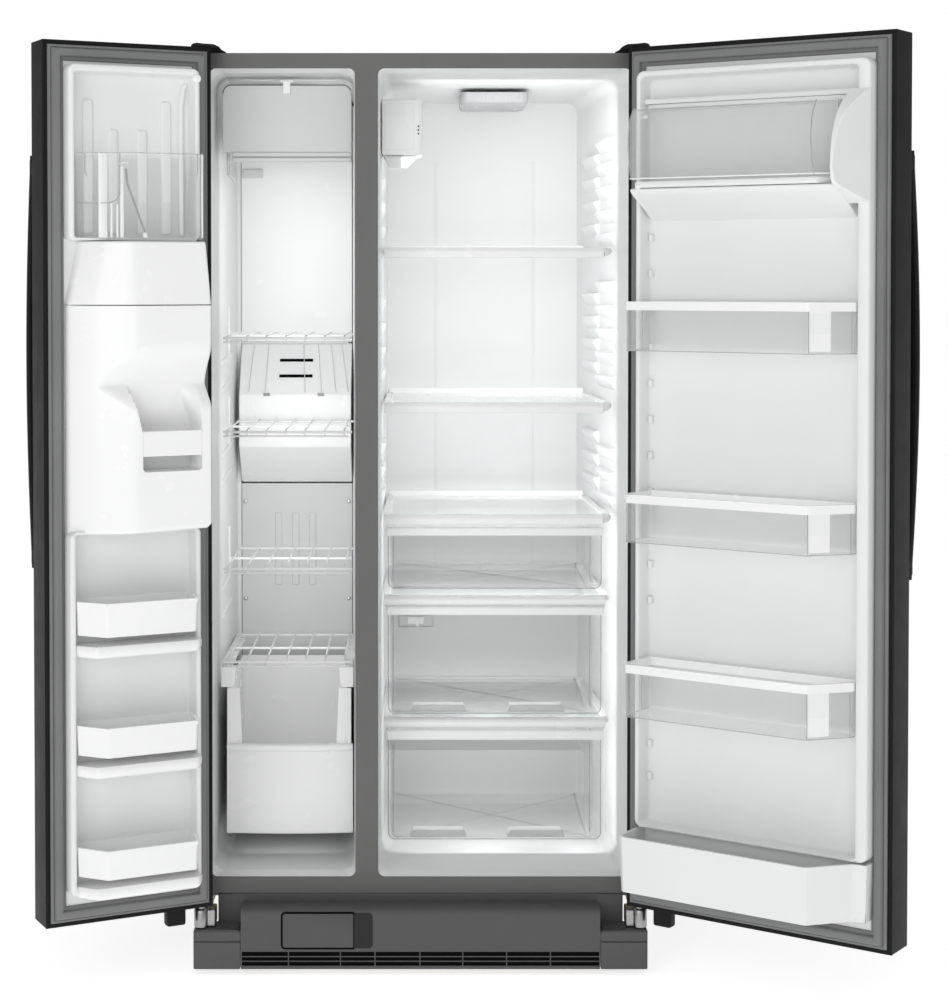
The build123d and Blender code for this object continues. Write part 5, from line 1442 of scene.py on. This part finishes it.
# --- grille and hinges ------------------------------------------------------------------
def base_grille():
    """Toe grille: centre panel, corner blocks, vent row and the water filter's door."""
    b = span("base_grille")
    cover = span("filter_cover")
    front = b.y[0]
    foot = b.z[0]
    stop_clear = foot + 72       # low enough for the door stops to pass over
    corner_in = 328
    top = b.z[1] - 8
    m = Mesh()
    # centre panel with a rounded top edge that leans back
    section = [
        (front, foot), (front, top - 12), (front + 1.2, top - 6), (front + 4.5, top - 2), (front + 9, top),
        (-6, top), (-6, top - 3), (front + 10, top - 3), (front + 4, top - 9), (front + 3, top - 14),
        (front + 3, foot),
    ]
    m.prism(section, -corner_in, corner_in, "YZ")
    m.piece("grille_panel", "cabinet", "grille_grey", bevel=0.5, replaces=["base_grille"], smooth=40)
    m = Mesh().block((-374, 374), (-6, -0.5), (foot + 52.4, b.z[1] + 5))
    m.piece("grille_step", "cabinet", "grille_grey", bevel=1.6)
    m = Mesh()
    for side in (-1, 1):
        far, near = side * b.x[1], side * (corner_in + 1.5)
        plan = [(far, front), (near, front), (near, -0.5), (far, -0.5)]
        plan = round_outline(plan, [6, 1, 0, 0], 6)
        m.cushion(plan, [(0, foot), (0, foot + 49), (1.2, foot + 49.5)])
        m.cushion(plan, [(1.2, foot + 50.5), (0, foot + 51.2), (0, foot + 68), (3, foot + 71.4)])
    m.piece("grille_corners", "cabinet", "grille_grey", bevel=0.8)
    m = Mesh()
    for side in (-1, 1):
        # concave scoop between the corner block and the centre panel
        rings = []
        for share in [i / 10 for i in range(11)]:
            x = side * (corner_in + 1 + share * 42)
            y = front + 4 + 46 * math.sin(share * math.pi / 2)
            low = foot + 60
            rings.append([(x, y, low), (x, y, stop_clear), (x, y + 3, stop_clear), (x, y + 3, low)])
        m.loops(rings)
    m.piece("grille_scoops", "cabinet", "grille_grey", smooth=50)
    # a near-black sheet behind the vent bars: painted shade in the hollow behind the vent
    m = Mesh()
    vent = (foot + 6.4, foot + 31.9)
    m.block((-corner_in + 2, corner_in - 2), (front - 0.35, front + 1), vent)
    m.piece("grille_vent_shade", "cabinet", "black_plastic", material=BLACK_AND_PAINTED_SHADE)
    m = Mesh()
    for i in (1, 2):
        z = vent[0] + i * (vent[1] - vent[0]) / 3
        m.block((-corner_in + 2, corner_in - 2), (front - 0.9, front + 1), about(z, 1))
    for x in (-241, -146, -83, -1, 77, 157, 237):
        m.block(about(x, 1), (front - 0.9, front + 1), vent)
    m.piece("grille_vent_bars", "cabinet", "grille_grey", bevel=0.35)

    m = Mesh()
    door = round_outline(rect(cover.x, within(cover.z, 3)), [5, 1, 1, 5], 8)
    outer = cover.y[0]
    m.cushion(door, [(1.2, outer - 1.2), (0.3, outer - 0.6), (0, outer + 0.6), (0, outer + 3)], "XZ")
    m.piece("filter_door", "filter_cover", "grille_grey", replaces=["filter_cover"], smooth=50)
    m = Mesh().cylinder(
        (cover.x[0] + 1.7, cover.y[0] + 1.5, cover.z[0]), (0, 0, 1), 0.74, cover.z[1] - cover.z[0], 12
    )
    m.piece("filter_door_pins", "filter_cover", "grille_grey")
    # a near-black sheet a little larger than the filter door: painted shadow in the gap round it
    m = Mesh().prism(grow(door, 3.2), front - 0.3, front + 1, "XZ")
    m.piece("filter_door_gap_shade", "cabinet", "black_plastic", material=BLACK_AND_PAINTED_SHADE)
    # a dark patch on the grille: painted shade in the finger recess
    m = Mesh()
    recess = round_outline(rect((-121, -87), within(cover.z, 2)), [1, 8, 8, 1], 8)
    m.prism(recess, front - 0.45, front + 1, "XZ")
    m.piece("finger_recess_shade", "cabinet", "black_plastic", material=RECESS_SHADE)


LEAF_TOP = 1690.5                # where the upper hinge leaf and the front of its cover start


def hinge_metal():
    """Hinges at both ends of each door, their covers and the door stops."""
    for i, b in enumerate(solids("hinge_brackets")):
        m = Mesh()
        side = -1 if b.x[0] < 0 else 1
        pin_x = side * abs(joints["freezer_door_hinge"]["pos_m"][0]) / MM
        pin_y = joints["freezer_door_hinge"]["pos_m"][1] / MM
        if b.z[1] < 400:
            m.cylinder(
                (pin_x, pin_y, b.z[0]), (0, 0, 1), 13, 35, 36,
                [(0, 11.5), (0.04, 13), (0.9, 13), (0.95, 12), (1, 10.5)]
            )
            m.cylinder((pin_x, pin_y, b.z[0] + 34), (0, 0, 1), 9, 8, 32, [(0, 9), (0.85, 9), (1, 8)])
            m.cylinder(
                (pin_x, pin_y, b.z[0] + 26), (0, 0, 1), 5, b.z[1] - b.z[0] - 26, 24,
                [(0, 5), (0.94, 5), (1, 4)]
            )
            m.piece(f"lower_hinge_{i}", "cabinet", "zinc_hinge", replaces=["hinge_brackets"])
            m = Mesh().prism(rect(sorted((side * 376, side * 399)), (-44, -0.5)), b.z[0], b.z[0] + 32)
            m.piece(f"lower_hinge_arm_{i}", "cabinet", "zinc_hinge", bevel=3)
        else:
            m.cylinder(
                (pin_x, pin_y, b.z[0]), (0, 0, 1), 5, b.z[1] - b.z[0] - 2, 24, [(0, 4), (0.06, 5), (1, 5)]
            )
            m.piece(f"upper_hinge_pin_{i}", "cabinet", "zinc_hinge", replaces=["hinge_brackets"])
            m = Mesh()
            x = sorted((side * 362, side * 412))
            plate = (x[0] + 12, x[1] - 4) if side > 0 else (x[0] + 4, x[1] - 12)
            m.block(plate, (-50, 52), (LEAF_TOP + 0.1, LEAF_TOP + 1.7))
            m.piece(f"upper_hinge_{i}", "cabinet", "zinc_hinge", bevel=1)
    for i, b in enumerate(solids("hinge_covers")):
        m = Mesh()
        side = -1 if b.x[0] < 0 else 1
        outer_x, inner_x = sorted(b.x, key=abs, reverse=True)
        crest = [
            (outer_x, b.z[1] - 9), (outer_x - side * 3, b.z[1] - 5.5), (outer_x - side * 10, b.z[1] - 4),
            (outer_x - side * 22, b.z[1] - 5.5), (outer_x - side * 40, b.z[1] - 6.5),
            (outer_x - side * 44, b.z[1] - 8),
        ]
        m.prism([(outer_x, LEAF_TOP)] + crest + [(inner_x + side * 7, LEAF_TOP)], b.y[0], 1, "XZ")
        rear = [(outer_x, b.z[0])] + crest + [(inner_x, LEAF_TOP - 3.5), (inner_x, b.z[0])]
        m.prism(rear, 0.8, b.y[1], "XZ")
        m.piece(
            f"hinge_cover_{i}", "cabinet", "black_plastic", bevel=1.6, replaces=["hinge_covers"],
            smooth=30
        )
    for body in ("freezer_door", "fridge_door"):
        d = span(f"{body}_foam", body)
        m = Mesh()
        stop = round_outline(STOP_PLAN, 5, 5)
        foot = d.z[0]
        m.cushion(stop, [(3, foot - 33), (1, foot - 32), (0, foot - 29), (0, foot - 0.5)])
        m.piece(f"{body}_stop", body, "black_plastic", smooth=50)


for door in ("freezer_door", "fridge_door"):
    door_gasket(door)
    door_skin(door)
    door_handle(door)
freezer_door_panel()
dispenser()
ice_housing()
ice_bin()
fridge_door_panel()
fridge_door_bins()
bottom_bin()
fridge_shelves()
crisper_covers()
drawer("deli_drawer", 16)
drawer("upper_crisper", 16, ((-20, 88), (165, 275)))
drawer("lower_crisper", 19, ((-20, 88), (165, 275)))
humidity_slider()
control_box()
light_lens()
fridge_liner_details()
freezer_back()
ice_maker_shield()
freezer_bin()
wire_shelves()
freezer_liner_details()
base_grille()
hinge_metal()


# --- floor, light and camera ----------------------------------------------------------
FILL_Y = 0.13                    # the compartments' soft panels stand behind the shelf fronts
FILL_GAP, FILL_SIDES = 25, 90    # kept free above and below each panel, and beside it, in millimetres
EYE = (0, -3.95, 1.269)
LENS = 77.33
SHIFT = (0.0535, -0.165)         # moves the picture over the whole fridge without turning the camera
TILT = 1.467                     # degrees that the camera looks down


def studio():
    """Pale floor, white surroundings, soft boxes outside and soft panels in the compartments."""
    floor = Paint("pale_floor")
    floor.link(
        floor.ramp(floor.noise(3, 3), (0.9, 0.9, 0.9), (0.93, 0.93, 0.93)),
        floor.shader.inputs["Base Color"]
    )
    floor.set(Roughness=0.7, Emission_Color=(1, 1, 1, 1), Emission_Strength=0.68, Specular_IOR_Level=0.2)
    mesh = bpy.data.meshes.new("studio_floor")
    bm = bmesh.new()
    bmesh.ops.create_grid(bm, x_segments=2, y_segments=2, size=40)
    bm.to_mesh(mesh)
    bm.free()
    mesh.materials.append(floor.material)
    ground = bpy.data.objects.new("studio_floor", mesh)
    bpy.context.scene.collection.objects.link(ground)

    world = bpy.data.worlds.new("studio_light")
    bpy.context.scene.world = world
    world.use_nodes = True
    nodes, links = world.node_tree.nodes, world.node_tree.links
    light = nodes["Background"]
    light.inputs["Color"].default_value = (1, 1, 1, 1)
    light.inputs["Strength"].default_value = 0.36
    paper = nodes.new("ShaderNodeBackground")
    paper.inputs["Strength"].default_value = 1.0
    paper.inputs["Color"].default_value = (1, 1, 1, 1)
    rays = nodes.new("ShaderNodeLightPath")
    mix = nodes.new("ShaderNodeMixShader")
    links.new(rays.outputs["Is Camera Ray"], mix.inputs["Fac"])
    links.new(light.outputs["Background"], mix.inputs[1])
    links.new(paper.outputs["Background"], mix.inputs[2])
    links.new(mix.outputs["Shader"], nodes["World Output"].inputs["Surface"])

    # name, place, target, width and height in metres, watts
    lamps = [
        ("front_softbox", (0.0, -4.4, 1.7), (0.0, 0.2, 0.9), (2.6, 2.2), 24),
        ("left_softbox", (-2.1, -3.9, 1.9), (0.0, 0.0, 0.9), (1.8, 2.2), 30),
        ("top_softbox", (0.3, -1.4, 4.4), (0.0, -0.2, 0.3), (3.0, 2.6), 26),
    ]
    # a soft panel inside each level of both compartments, behind the shelf fronts
    fridge_levels = [f.z for f in solids("shelf_frames")]
    fridge_levels += [span(f"{level}_crisper_cover").z for level in ("upper", "lower")]
    for room, levels, glows in (
        ("freezer_liner", [f.z for f in solids("wire_shelves")], (1.75, 1.6, 1.7, 1.3, 0.7)),
        ("fridge_liner", fridge_levels, (1.8, 1.6, 1.6, 4.0, 3.3, 3.1)),
    ):
        r = span(room)
        edges = [r.z[1]] + [z for level in levels for z in level] + [r.z[0]]
        for i in range(0, len(edges), 2):
            low, high = within(sorted(edges[i:i + 2]), FILL_GAP)
            size = ((r.x[1] - r.x[0] - FILL_SIDES) * MM, (high - low) * MM)
            place = Vector((sum(r.x) / 2 * MM, FILL_Y, (low + high) / 2 * MM))
            power = glows[i // 2] * math.pi * size[0] * size[1]
            lamps.append((f"{room}_fill_{i}", place, place + Vector((0, 1, 0)), size, power))
    for name, place, target, size, power in lamps:
        light = bpy.data.lights.new(name, "AREA")
        light.shape = "RECTANGLE"
        light.size, light.size_y = size
        light.energy = power
        lamp = bpy.data.objects.new(name, light)
        lamp.location = place
        lamp.rotation_euler = (Vector(target) - Vector(place)).to_track_quat("-Z", "Y").to_euler()
        lamp.visible_camera = False
        bpy.context.scene.collection.objects.link(lamp)


def camera():
    """A long lens at head height, tilted slightly down."""
    data = bpy.data.cameras.new("front_camera")
    data.lens = LENS
    data.sensor_width = 36
    data.shift_x, data.shift_y = SHIFT
    data.dof.use_dof = False
    eye = bpy.data.objects.new("front_camera", data)
    eye.location = EYE
    eye.rotation_euler = (math.radians(90 - TILT), 0, 0)
    bpy.context.scene.collection.objects.link(eye)
    bpy.context.scene.camera = eye


studio()
camera()
scene = bpy.context.scene
scene.view_settings.view_transform = "Standard"
